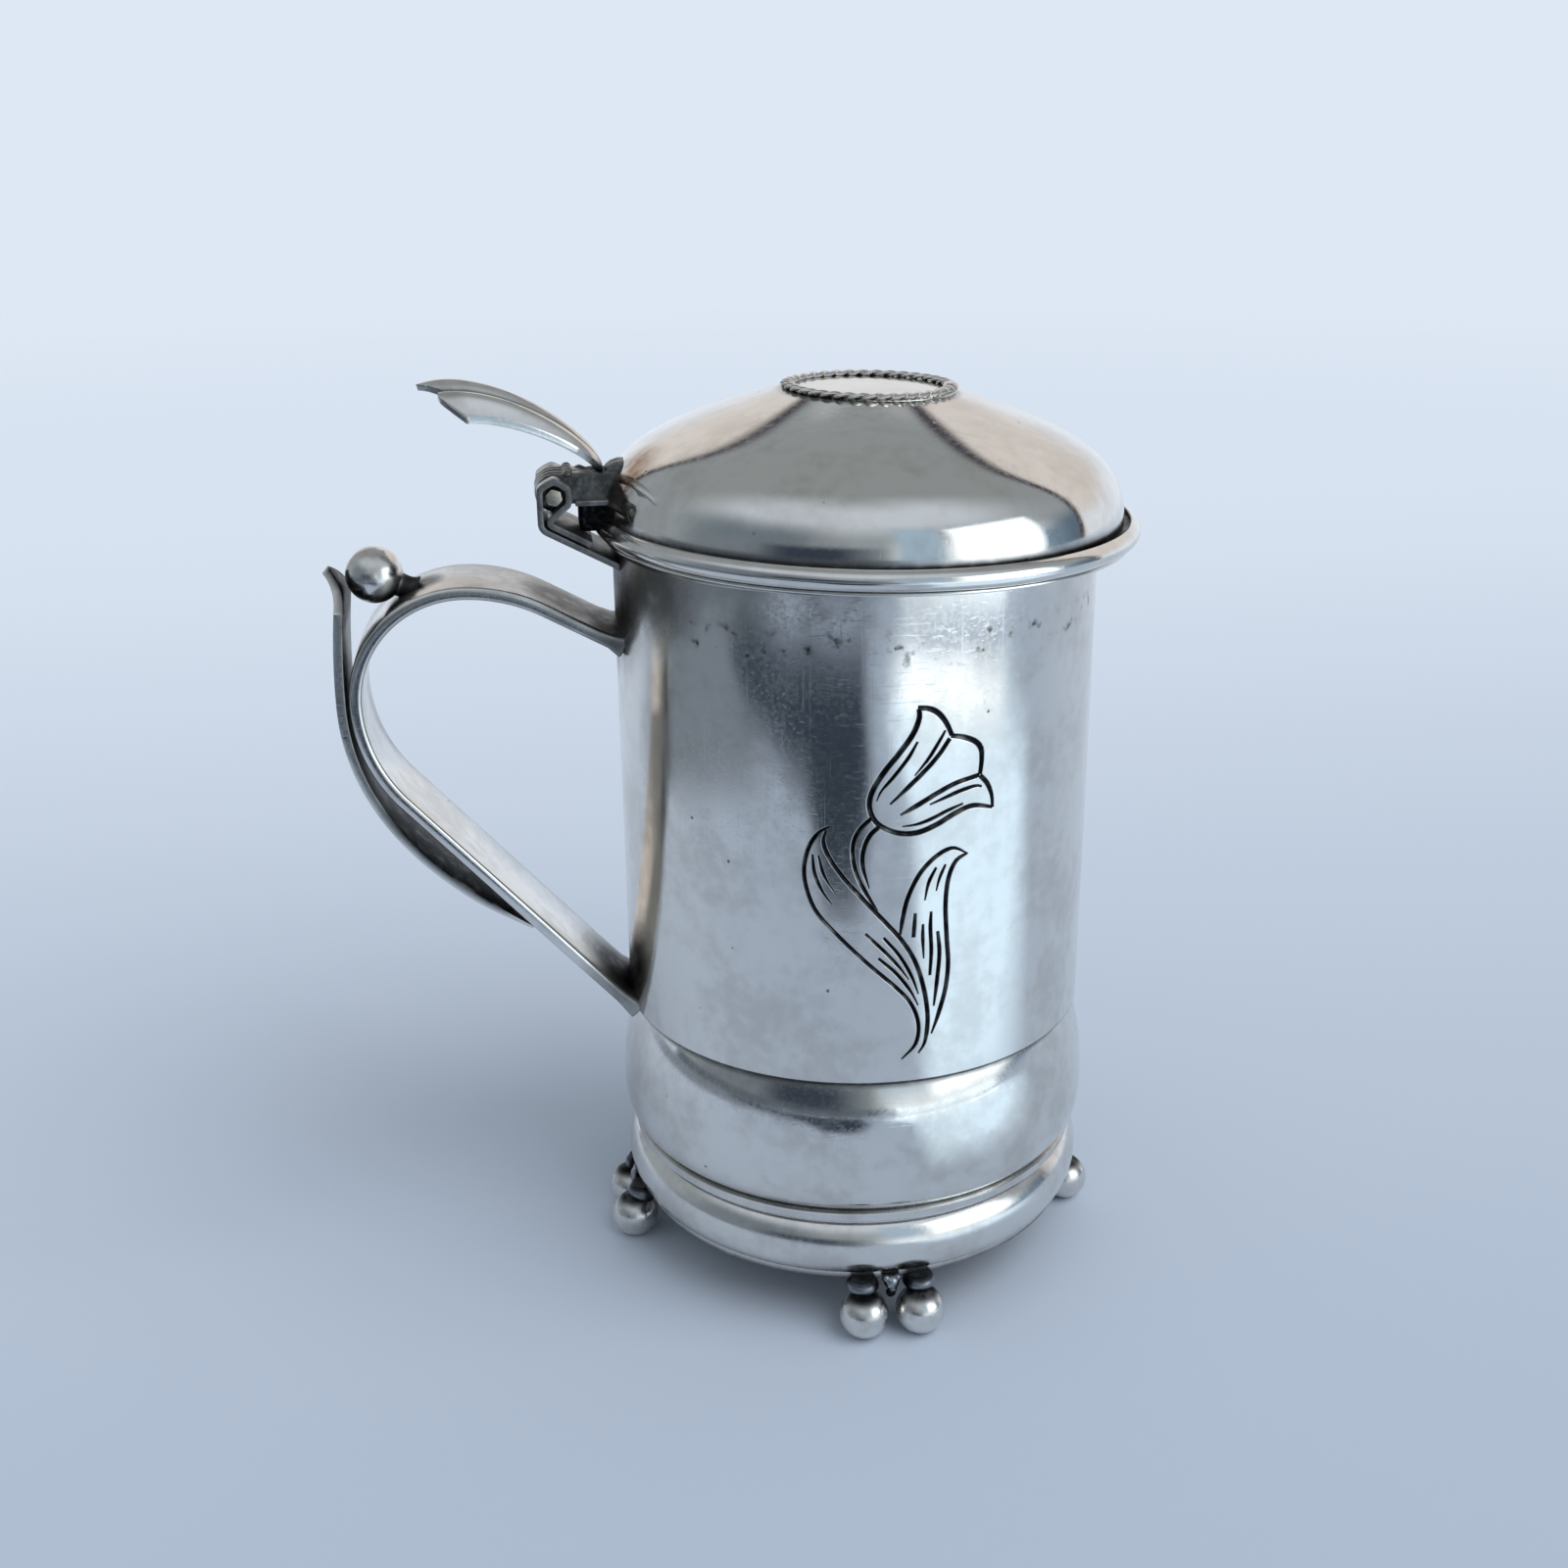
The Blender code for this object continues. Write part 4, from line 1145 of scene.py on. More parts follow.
@dataclass
class Handle:
    """An ear-shaped strap with a second leaf outside it and a ball held between the two."""

    radius: float = 26.0
    start_height: float = 73.65
    rise_angle: float = 29.0
    lead: float = 8.6
    shoulder_radius: float = 17.5
    turn_radius: float = 11.6
    return_radius: float = 16.85
    foot_height: float = 31.0
    width: float = 10.8
    thickness: float = 1.4
    edge: float = 0.42
    buried: float = 0.7
    solder_gap: float = 0.3
    solder_reach: float = 9.0
    solder_rise: float = 1.6
    solder_spread: Point = (0.55, 0.35)
    leaf_thickness: float = 1.0
    leaf_edge: float = 0.12
    leaf_width: float = 10.4
    leaf_landing: float = 14.7
    leaf_landing_width: float = 7.6
    leaf_splay: float = 16.0
    leaf_upper_pull: float = 10.0
    leaf_lower_pull: float = 15.0
    leaf_rise: float = 10.0
    leaf_lean_radius: float = 80.0
    leaf_tip_radius: float = 3.8
    leaf_tip_angle: float = 60.0
    leaf_tip_width: float = 0.5
    ball: float = 3.0
    ball_angle: float = 55.0
    cup_angle: float = 66.0
    cup_radius: float = 1.25
    cup_buried: float = 0.4
    cup_hold: float = 0.72
    strap_finish: Silver = Silver(
        "bent_silver_strap", roughness=0.13, tarnish_share=0.45, scratch_turn=(0.0, 0.6, 0.0),
        stains_and_shade=(StainAndShade((-26.0, 0.0, 73.8), 10.0, 1.0), StainAndShade((-31.0, 0.0, 77.6), 9.0, 0.85),
                StainAndShade((-46.5, 0.0, 79.6), 4.5, 0.9), StainAndShade((-38.5, 0.0, 80.5), 11.0, 0.32),
                StainAndShade((-27.0, 0.0, 33.0), 9.0, 1.0)))
    leaf_finish: Silver = Silver("bent_silver_leaf", roughness=0.15, tarnish_share=0.45)
    ball_finish: Silver = Silver("cast_silver_handle_ball", roughness=0.19, tarnish_share=0.5, patch_mm=3.0,
                                 wave_depth_mm=0.01)
    cup_finish: Silver = Silver("oxidised_silver_ball_cup", clean="#8f8d89", tarnish="#4a4845",
                                roughness=0.26)

    def __post_init__(self) -> None:
        """Works out the centres that the strap is bent round."""
        rise = math.radians(self.rise_angle)
        begin = Vector((self.radius, self.start_height))
        self.slope = Vector((math.cos(rise), math.sin(rise)))
        self.begin = begin - self.slope * self.buried
        bend = begin + self.slope * self.lead
        self.shoulder = Vector((bend.x + self.shoulder_radius * math.sin(rise),
                                bend.y - self.shoulder_radius * math.cos(rise)))
        self.turn = Vector((self.shoulder.x, self.shoulder.y + self.shoulder_radius - self.turn_radius))
        self.back = Vector((self.turn.x + self.turn_radius - self.return_radius, self.turn.y))
        self.foot = Vector((self.radius, self.foot_height))
        away = self.foot - self.back
        self.tangent = math.atan2(away.y, away.x) + math.acos(self.return_radius / away.length)
        leave = self.back + self.return_radius * Vector((math.cos(self.tangent), math.sin(self.tangent)))
        self.down = (self.foot - leave).normalized()
        self.run = (self.foot - leave).length + self.buried

    def build(self, bench: Bench) -> None:
        """Makes and dresses strap, leaf, ball and cup.

        Args:
            bench: the bench to work on.
        """
        self._strap(bench)
        self._leaf(bench)
        self._ball(bench)

    def _strap(self, bench: Bench) -> None:
        """A flat bar, drawn out and bent round three centres.

        Args:
            bench: the bench to work on.
        """
        piece = bench.begin("silver_strap", Start.PLANE, size=1.0)
        lean = math.radians(self.rise_angle)
        across = Vector((math.sin(lean), 0.0, math.cos(lean)))
        mid = Vector((-self.begin.x, 0.0, self.begin.y))
        for vert in piece.data.vertices:
            vert.co = mid + across * vert.co.x * self.thickness + Vector((0.0, vert.co.y * self.width, 0.0))
        bench.edit(piece)
        self._draw_out(self.slope, self.lead + self.buried, 6)
        self._bend(self.shoulder, lean, 18)
        self._bend(self.turn, math.pi / 2, 40)
        self._bend(self.back, -self.tangent, 24)
        self._draw_out(self.down, self.run, 14)
        bench.mend()
        bench.close()
        bench.round_edges(piece, self.edge)
        self._solder(piece)
        bench.blacken(piece, lambda p: 0.0)
        bench.settle(piece, self.strap_finish, Body.CUP, "handle_strap")

    @staticmethod
    def _draw_out(way: Vector, reach: float, steps: int) -> None:
        """Draws the open end of the bar straight out, in even steps.

        Args:
            way: the direction, as (reach, height).
            reach: how far in all.
            steps: number of steps.
        """
        move = (-way.x * reach / steps, 0.0, way.y * reach / steps)
        for _ in range(steps):
            bpy.ops.mesh.extrude_region_move(TRANSFORM_OT_translate={"value": move})

    @staticmethod
    def _bend(centre: Vector, angle: float, steps: int) -> None:
        """Bends the open end of the bar downwards round a centre."""
        bpy.ops.mesh.spin(steps=steps, angle=angle, center=(-centre.x, 0.0, centre.y), axis=(0.0, 1.0, 0.0))

    def _solder(self, piece: Piece) -> None:
        """Spreads both ends of the strap into the solder that holds them to the wall.

        Args:
            piece: the strap.
        """
        ends = ((self.start_height, Vector((-self.slope.x, 0.0, self.slope.y))),
                (self.foot_height, Vector((self.down.x, 0.0, -self.down.y))))
        thicker, wider = self.solder_spread
        for height, along in ends:
            end = Vector((-self.radius, 0.0, height))
            across = Vector((-along.z, 0.0, along.x))
            for vert in piece.data.vertices:
                off = vert.co - end
                wall = math.hypot(vert.co.x, vert.co.y) - self.radius
                if off.length > self.solder_reach or wall > self.solder_rise:
                    continue
                spread = smooth_step(1.5, -0.3, wall)
                vert.co += across * math.copysign(thicker * spread, off.dot(across))
                vert.co.y += math.copysign(wider * spread, vert.co.y)

    def leaf_path(self) -> tuple[list[Point], int]:
        """Centreline of the leaf from its landing to its tip, and where the tip begins.

        Returns:
            The path and the number of its last point of full width.
        """
        stand_off = self.thickness / 2 + self.solder_gap + self.leaf_thickness / 2
        up = -self.down
        out = Vector((up.y, -up.x))
        landing = self.foot + up * self.leaf_landing + out * (stand_off - self.solder_gap)
        contact = Vector((self.turn.x + self.turn_radius + stand_off, self.turn.y))
        splay = math.atan2(up.y, up.x) - math.radians(self.leaf_splay)
        lower = landing + self.leaf_lower_pull * Vector((math.cos(splay), math.sin(splay)))
        upper = contact - Vector((0.0, self.leaf_upper_pull))
        path = bezier(tuple(landing), tuple(lower), tuple(upper), tuple(contact), 44)
        lean = math.degrees(math.asin(self.leaf_rise / self.leaf_lean_radius))
        path += arc((contact.x - self.leaf_lean_radius, contact.y), self.leaf_lean_radius, 0, lean, 14)[1:]
        swing, size, end = math.radians(lean), self.leaf_tip_radius, path[-1]
        centre = (end[0] + size * math.cos(swing), end[1] + size * math.sin(swing))
        full = len(path) - 1
        path += arc(centre, size, 180 + lean, 180 + lean - self.leaf_tip_angle, 14)[1:]
        return path, full

    def _leaf(self, bench: Bench) -> None:
        """The outer leaf: landed on the strap's back, free above, with a mitred point that turns out.

        Args:
            bench: the bench to work on.
        """
        path, full = self.leaf_path()
        last = len(path) - 1
        sections = []
        for i, (spot, normal) in enumerate(zip(path, path_normals(path))):
            if i <= full:
                swell = math.sin(math.pi / 2 * min(1.0, i / (0.7 * full)))
                wide = self.leaf_landing_width + (self.leaf_width - self.leaf_landing_width) * swell
            else:
                wide = self.leaf_width + (self.leaf_tip_width - self.leaf_width) * (i - full) / (last - full)
            half = self.leaf_thickness / 2 * (0.35 + 0.65 * smooth_step(0.0, 8.0, i))
            sections.append(bar_section(spot, normal, half, wide / 2))
        piece = bench.skin("silver_leaf", sections)
        bench.round_edges(piece, self.leaf_edge, 50.0)
        tip = path[full]
        landing = path[0]

        def black(p: Vector) -> float:
            """Painted shadow on the inner face towards the strap, with oxide, strongest by the ball and in
            the slit at the landing.

            Args:
                p: place on the piece.

            Returns:
                Share of black.
            """
            # painted shadow: the inner face, between leaf and strap
            inner = smooth_step(0.2, 0.5, p.x + self._leaf_reach(path, p.z))
            by_ball = smooth_step(tip[1] - 6.0, tip[1] - 1.0, p.z)
            by_slit = smooth_step(landing[1] + 26.0, landing[1] + 12.0, p.z)
            return inner * max(by_ball, by_slit, 0.75)

        bench.blacken(piece, black)
        bench.settle(piece, self.leaf_finish, Body.CUP, "handle_leaf")

    @staticmethod
    def _leaf_reach(path: Sequence[Point], height: float) -> float:
        """Reach of the leaf's centreline at a height."""
        return float(np.interp(height, [p[1] for p in path], [p[0] for p in path]))

    def _ball(self, bench: Bench) -> None:
        """The ball that sits between the leaf's tip and the strap, and the cup under it.

        Args:
            bench: the bench to work on.
        """
        rest = self.turn_radius + self.thickness / 2
        lean = math.radians(self.ball_angle)
        centre = self.turn + (rest + self.solder_gap + self.ball) * Vector((math.cos(lean), math.sin(lean)))
        middle = Vector((-centre.x, 0.0, centre.y))
        ball = bench.begin("silver_handle_ball", Start.BALL, middle, segments=56, ring_count=36,
                           radius=self.ball)
        towards = Vector((-math.cos(lean), 0.0, math.sin(lean)))
        bench.blacken(ball, lambda p: smooth_step(1.2, 2.6, -(p - middle).dot(towards)))
        bench.settle(ball, self.ball_finish, Body.CUP, "handle_ball")
        self._cup(bench, centre, rest - self.cup_buried)

    def _cup(self, bench: Bench, centre: Vector, rest: float) -> None:
        """The short flared cup that carries the ball on the strap.

        Args:
            bench: the bench to work on.
            centre: the ball's centre, as (reach, height).
            rest: distance of the cup's foot from the centre of the strap's turn.
        """
        angle = math.radians(self.cup_angle)
        root = self.turn + rest * Vector((math.cos(angle), math.sin(angle)))
        line = centre - root
        length = line.length - self.ball * self.cup_hold
        foot, waist, flare, lip, hollow = (self.cup_radius * share for share in (1.25, 0.9, 1.18, 1.02, 0.7))
        outline = [(0.0, 0.0), (foot, 0.0)]
        outline += bezier((foot, 0.15), (waist, 0.5), (waist, length - 0.8), (flare, length), 12)
        outline += [(lip, length + 0.08), (hollow, length - 0.25), (0.0, length - 0.3)]
        piece = bench.turn("silver_ball_cup", outline, 40)
        tilt = Vector((0.0, 0.0, 1.0)).rotation_difference(Vector((-line.x, 0.0, line.y)))
        seat = Vector((-root.x, 0.0, root.y))
        piece.data.transform(Matrix.Translation(seat) @ tilt.to_matrix().to_4x4())
        bench.blacken(piece, lambda p: 0.85 - 0.85 * smooth_step(length - 0.5, length, (p - seat).length))
        bench.settle(piece, self.cup_finish, Body.CUP, "ball_seat", slot=Slot.OXIDISED)


@dataclass
class Lid:
    """Dome, moulded rim, seat ring, bezel and rope ring, on an axis a little away from the hinge."""

    offset: float = 1.2
    mouth: float = 83.75
    bezel_radius: float = 23.0
    bezel_wall: float = 1.0
    bezel_depth: float = 2.5
    seat_radius: float = 27.9
    seat_width: float = 1.3
    seat_overhang: float = 0.375
    seat_gap: float = 0.02
    rim_bottom: float = 84.15
    rim_depth: float = 1.4
    rim_top: float = 86.45
    rim_radius: float = 29.2
    lip_bore: float = 28.05
    rim_step: float = 27.35
    flange_top: float = 85.9
    dome_radius: float = 27.75
    dome_off: float = -0.4
    dome_base: float = 86.2
    dome_rise: float = 12.9
    dome_shoulder: float = 7.0
    slope_run: float = 12.35
    slope_drop: float = 3.8
    crown_rise: float = 0.3
    dome_thickness: float = 0.9
    rope_circle: float = 8.55
    rope_height: float = 99.36
    strand: float = 0.43
    strand_offset: float = 0.38
    rope_flat: float = 0.52
    rope_turns: int = 18
    rope_bed: tuple[Point, ...] = ((0.55, 0.75), (0.5, 0.4), (0.3, 0.25), (-0.5, 0.25), (-0.8, 0.4),
                                   (-0.8, 0.9))
    lump_angle: float = -0.2
    lump_size: Place = (0.85, 1.6, 0.55)
    lump_sink: float = 0.05
    lean: float = 1.2
    dome_finish: Silver = Silver(
        "raised_silver_dome", roughness=0.05, haze=0.04, tarnish_share=0.35, wave_depth_mm=0.02,
        stains_and_shade=(StainAndShade((-23.9, -5.2, 91.0), 6.0, 1.7, True), StainAndShade((-25.2, -4.2, 88.8), 3.6, 0.9)))
    rim_finish: Silver = Silver("spun_silver_rim", roughness=0.09, tarnish_share=0.3)
    rope_finish: Silver = Silver("twisted_silver_wire", clean="#dedbd5", roughness=0.16, patch_mm=2.0,
                                 wave_mm=3.0, wave_depth_mm=0.01)
    inside_finish: Silver = Silver("dull_silver_bezel", roughness=0.28, tarnish_share=0.7)

    def build(self, bench: Bench) -> None:
        """Makes and dresses the five pieces.

        Args:
            bench: the bench to work on.
        """
        self._dome(bench)
        self._rim(bench)
        self._seat(bench)
        self._bezel(bench)
        self._rope(bench)

    def outline(self, count: int = 60) -> list[Point]:
        """Outer side of the dome, from the axis down to its base.

        Args:
            count: steps on the slope.

        Returns:
            Points of (radius, height).
        """
        base, top, circle = self.dome_base, self.dome_base + self.dome_rise, self.rope_circle
        level = (circle / 2, top + self.crown_rise)
        crown = bezier((0.0, level[1]), level, level, (circle, top), 14)
        side = bezier((circle, top), (circle + self.slope_run, top - self.slope_drop),
                      (self.dome_radius, base + self.dome_shoulder), (self.dome_radius, base), count)
        return crown + side[1:]

    def _shift(self, piece: Piece, off: float = 0.0) -> None:
        """Moves a turned piece onto the lid's own axis, or a little off it."""
        piece.data.transform(Matrix.Translation((self.offset + off, 0.0, 0.0)))

    def _tip(self, piece: Piece) -> None:
        """Tips a piece as the worn hinge lets the lid lie, a little lower on the far side."""
        heart = Matrix.Translation((self.offset, 0.0, self.rim_bottom))
        piece.data.transform(heart @ Matrix.Rotation(math.radians(self.lean), 4, "Y") @ heart.inverted())

    def _away(self, p: Vector) -> float:
        """Distance of a place from the lid's axis."""
        return math.hypot(p.x - self.offset, p.y)

    def _dome(self, bench: Bench) -> None:
        """The thin raised dome, let down onto the rim's flange.

        Args:
            bench: the bench to work on.
        """
        outer = self.outline()
        sides = path_normals(outer)
        inner = [(max(r - n.x * self.dome_thickness, 0.0), h - n.y * self.dome_thickness)
                 for (r, h), n in zip(outer, sides)]
        inside = self.dome_radius - self.dome_thickness
        inner[0] = (0.0, outer[0][1] - self.dome_thickness)
        inner[-1] = (inside, self.dome_base)
        foot = [(self.dome_radius, self.flange_top), (inside, self.flange_top)]
        piece = bench.turn("silver_dome", outer + foot + inner[::-1], 192)
        self._shift(piece, self.dome_off)
        top = self.dome_base + self.dome_rise

        def black(p: Vector) -> float:
            """Painted shadow in the gutter, and grey under the rope ring.

            Args:
                p: place on the piece.

            Returns:
                Share of black.
            """
            away = self._away(p)
            # painted shadow in the gap between dome and rim
            gutter_shadow = smooth_step(self.flange_top + 1.5, self.flange_top + 0.4, p.z)
            rope = 0.5 - 0.5 * smooth_step(0.9, 1.15, abs(away - self.rope_circle))
            return max(gutter_shadow if away > self.dome_radius - 0.5 else 0.0, rope if p.z > top - 0.6 else 0.0)

        bench.blacken(piece, black)
        self._tip(piece)
        bench.settle(piece, self.dome_finish, Body.LID, "lid_dome")

    def _rim(self, bench: Bench) -> None:
        """The moulded rim: a rounded outer edge, a thin upright lip and the flange inside it.

        Args:
            bench: the bench to work on.
        """
        bore, inner, flange = self.bezel_radius - self.bezel_wall, self.lip_bore, self.flange_top
        low, under, tall = self.rim_bottom, self.rim_step, (self.rim_top - self.rim_bottom) / 2
        heart = (self.rim_radius - self.rim_depth, low + tall)
        moulding = arc((0.0, 0.0), 1.0, 72, -80, 28)
        outline = [(heart[0] + self.rim_depth * x, heart[1] + tall * y) for x, y in moulding]
        outline += [(under, low + 0.15), (under - 0.05, low + 0.5), (bore, low + 0.5), (bore, flange - 0.1),
                    (bore + 0.1, flange), (inner, flange), (inner, self.rim_top - 0.16), outline[0]]
        piece = bench.turn("silver_rim", outline, 192)
        self._shift(piece)

        def black(p: Vector) -> float:
            """Painted shadow in the gutter, and black in the line under the moulding.

            Args:
                p: place on the piece.

            Returns:
                Share of black.
            """
            away = self._away(p)
            # painted shadow in the gutter inside the lip
            if away < inner + 0.05:
                return 1.0 if p.z > self.flange_top - 0.3 else 0.3
            return 0.3 * smooth_step(self.rim_bottom + 0.2, self.rim_bottom, p.z)

        bench.blacken(piece, black)
        self._tip(piece)
        bench.settle(piece, self.rim_finish, Body.LID, "lid_rim")

    def _seat(self, bench: Bench) -> None:
        """The beaded ring that rests on the mouth.

        Args:
            bench: the bench to work on.
        """
        bore = self.seat_radius - self.seat_width
        bottom = self.mouth + self.seat_gap
        bead = (self.rim_bottom - bottom) / 2
        outline = arc((self.seat_radius - bead + self.seat_overhang, bottom + bead), bead, 90, -90, 14)
        outline += [(bore, bottom), (bore, self.rim_bottom), outline[0]]
        piece = bench.turn("silver_seat_ring", outline, 192)
        self._shift(piece)
        bench.blacken(piece, lambda p: 0.3 * smooth_step(self.rim_bottom - 0.2, self.rim_bottom, p.z))
        self._tip(piece)
        bench.settle(piece, self.rim_finish, Body.LID, "lid_seat_ring")

    def _bezel(self, bench: Bench) -> None:
        """The plain flange that drops inside the mouth, its lower edge eased.

        Args:
            bench: the bench to work on.
        """
        outer, inner = self.bezel_radius, self.bezel_radius - self.bezel_wall
        low, high = self.mouth - self.bezel_depth, self.flange_top - 0.3
        ring = [(outer, high), (outer, low + 0.5), (outer - 0.15, low + 0.1), (outer - 0.4, low),
                (inner + 0.15, low), (inner, low + 0.15), (inner, high)]
        piece = bench.turn("silver_bezel", ring + ring[:1], 160)
        self._shift(piece)
        bench.blacken(piece, lambda p: smooth_step(self.mouth - 0.5, self.mouth + 0.6, p.z))
        bench.settle(piece, self.inside_finish, Body.LID, "lid_bezel")

    def _rope(self, bench: Bench) -> None:
        """Two wires twisted together, bent into a ring and pressed flat, with solder on the join.

        Args:
            bench: the bench to work on.
        """
        height, circle = self.rope_height, self.rope_circle
        bed = [(circle + off, height - drop) for off, drop in self.rope_bed]
        strands = [bench.turn("rope_bed", bed + bed[:1], 128)]
        for k in range(2):
            wire = bench.begin("rope_wire", Start.RING, major_segments=self.rope_turns * 16,
                               minor_segments=10, major_radius=circle, minor_radius=self.strand)
            for vert in wire.data.vertices:
                angle = math.atan2(vert.co.y, vert.co.x)
                twist = self.rope_turns * angle + math.pi * k
                away = self.strand_offset * math.cos(twist)
                rise = self.rope_flat * (vert.co.z + 0.75 * self.strand_offset * math.sin(twist))
                vert.co += Vector((math.cos(angle) * away, math.sin(angle) * away, height + rise - vert.co.z))
            strands.append(wire)
        lump = bench.begin("rope_lump", Start.BALL, segments=24, ring_count=16, radius=1.0)
        place = Matrix.Translation((circle, 0.0, height - self.lump_sink))
        turn = Matrix.Rotation(self.lump_angle, 4, "Z")
        lump.data.transform(turn @ place @ Matrix.Diagonal((*self.lump_size, 1.0)))
        piece = bench.join(strands + [lump], "silver_rope")
        self._shift(piece)
        centre = Vector((self.offset, 0.0, height))

        def black(p: Vector) -> float:
            """Grey in the valley between the wires, black against the dome.

            Args:
                p: place on the piece.

            Returns:
                Share of black.
            """
            angle = math.atan2(p.y, p.x - self.offset)
            heart = centre + self.rope_circle * Vector((math.cos(angle), math.sin(angle), 0.0))
            low = smooth_step(0.3, 0.8, heart.z - p.z)
            return max(0.35 - 0.35 * smooth_step(0.18, 0.42, (p - heart).length), 0.6 * low)

        bench.blacken(piece, black)
        self._tip(piece)
        bench.settle(piece, self.rope_finish, Body.LID, "rope_ring", slot=Slot.OXIDISED)


@dataclass(frozen=True)
class Slab:
    """A flat bar of the bracket: its distance behind the pin and below it, its size and its eased edge."""

    back: float
    drop: float
    width: float
    height: float
    ease: float


@dataclass
class Hinge:
    """The body's folded strip with its two eyes, the pin, and the lid's reeded bracket."""

    barrel: float = 26.0
    mouth: float = 83.75
    pin_reach: float = 31.9
    pin_height: float = 89.55
    pin: float = 0.85
    pin_swell: float = 1.12
    pin_twist: float = 0.3
    pin_proud: float = 0.3
    strip: float = 0.6
    strip_drop: float = 1.9
    bend_drop: float = 3.3
    bend_radius: float = 1.1
    eye: float = 1.5
    eye_slack: float = 1.08
    eye_facet: float = 0.6
    eye_wrap: float = 230.0
    return_run: float = 1.75
    return_radius: float = 0.42
    inner_run: float = 4.4
    width: float = 9.8
    knuckle_width: float = 5.6
    knuckle: float = 1.95
    knuckle_gap: float = 0.3
    reeds: int = 4
    reed_slices: int = 10
    reed_depth: float = 0.42
    scroll: float = 0.46
    scroll_size: Place = (0.85, 1.0, 0.8)
    scroll_back: float = 1.5
    scroll_sink: float = 0.12
    waist: float = 0.3
    waist_reach: Point = (29.0, 26.5)
    slabs: tuple[Slab, ...] = (Slab(2.15, 0.95, 7.4, 0.55, 0.12), Slab(2.5, 2.55, 5.0, 3.3, 0.5))
    plate_drop: float = 1.1
    riser: float = 0.9
    riser_steps: tuple[Point, ...] = ((0.2, 0.35), (0.7, 0.75), (1.4, 1.0))
    bracket_end: float = 21.0
    thumb_root: float = 27.0
    strip_finish: Silver = Silver("oxidised_silver_hinge_strip", clean="#cfcdca", tarnish="#6b6966",
                                  roughness=0.22, tarnish_share=0.55, patch_mm=2.5, mottle_mm=0.7,
                                  wave_mm=3.0)
    bracket_finish: Silver = Silver("oxidised_silver_bracket", clean="#c2c0bc", tarnish="#55534f",
                                    roughness=0.24, tarnish_share=0.6, patch_mm=2.0, mottle_mm=0.6,
                                    wave_mm=2.5)
    pin_finish: Silver = Silver("worn_silver_pin", clean="#c6bfae", tarnish="#7a7265", roughness=0.25,
                                patch_mm=1.0)

    def build(self, bench: Bench, lid: Lid) -> None:
        """Makes and dresses strip, pin and bracket.

        Args:
            bench: the bench to work on.
            lid: the lid that the bracket is fitted to.
        """
        self._strip(bench)
        self._pin(bench)
        self._bracket(bench, lid)

    def strip_path(self) -> list[Point]:
        """Centreline of the strip: out from the wall, up, round the pin and back down inside itself.

        Returns:
            Points of (reach, height).
        """
        start = Vector((self.barrel - 0.8, self.mouth - self.strip_drop))
        side = self.pin_reach + self.eye
        corner = Vector((side, self.pin_height - self.bend_drop))
        along = (corner - start).normalized()
        turn = math.pi / 2 - math.atan2(along.y, along.x)
        setback = self.bend_radius * math.tan(turn / 2)
        path = [tuple(start + (corner - along * setback - start) * i / 8) for i in range(9)]
        bend = (side - self.bend_radius, corner.y + setback)
        path += arc(bend, self.bend_radius, -math.degrees(turn), 0, 12)[1:]
        for turned in (self.eye_wrap * i / 60 for i in range(61)):
            facet = math.cos(math.pi / 6) / math.cos(math.radians((turned + 30) % 60 - 30)) - 1.0
            size = self.eye * (1.0 + self.eye_facet * facet) * self.eye_slack
            path += arc((self.pin_reach, self.pin_height), size, turned, turned, 1)[1:]
        heading = math.radians(self.eye_wrap + 90)
        last = Vector(path[-1])
        ahead = Vector((math.cos(heading), math.sin(heading)))
        path += [tuple(last + ahead * self.return_run * i / 5) for i in range(1, 6)]
        last = Vector(path[-1])
        centre = last + self.return_radius * Vector((ahead.y, -ahead.x))
        first = math.degrees(math.atan2(last.y - centre.y, last.x - centre.x))
        sweep = math.degrees(heading - math.pi * 2 - math.atan2(-along.y, -along.x)) % 360
        path += arc(tuple(centre), self.return_radius, first, first - sweep, 12)[1:]
        last = Vector(path[-1])
        path += [tuple(last - along * self.inner_run * i / 6) for i in range(1, 7)]
        return path

    def _strip(self, bench: Bench) -> None:
        """The folded strip, open in the middle for the lid's knuckle.

        Args:
            bench: the bench to work on.
        """
        path = self.strip_path()
        sections = [bar_section(spot, normal, self.strip / 2, self.width / 2)
                    for spot, normal in zip(path, path_normals(path))]
        piece = bench.skin("silver_hinge_strip", sections)
        size = 2 * (self.knuckle + self.knuckle_gap)
        tool = bench.begin("knuckle_room", Start.CUBE, (-self.pin_reach, 0.0, self.pin_height), size=1.0,
                           scale=(size + 1.0, self.knuckle_width + 2 * self.knuckle_gap, size))
        bench.cut(piece, tool)
        bench.round_edges(piece, 0.13, 50.0, 2)
        bench.blacken(piece, lambda p: 0.6 if abs(p.y) > self.width / 2 - 0.01 else 0.05)
        bench.settle(piece, self.strip_finish, Body.CUP, "body_hinge_leaf", slot=Slot.OXIDISED)

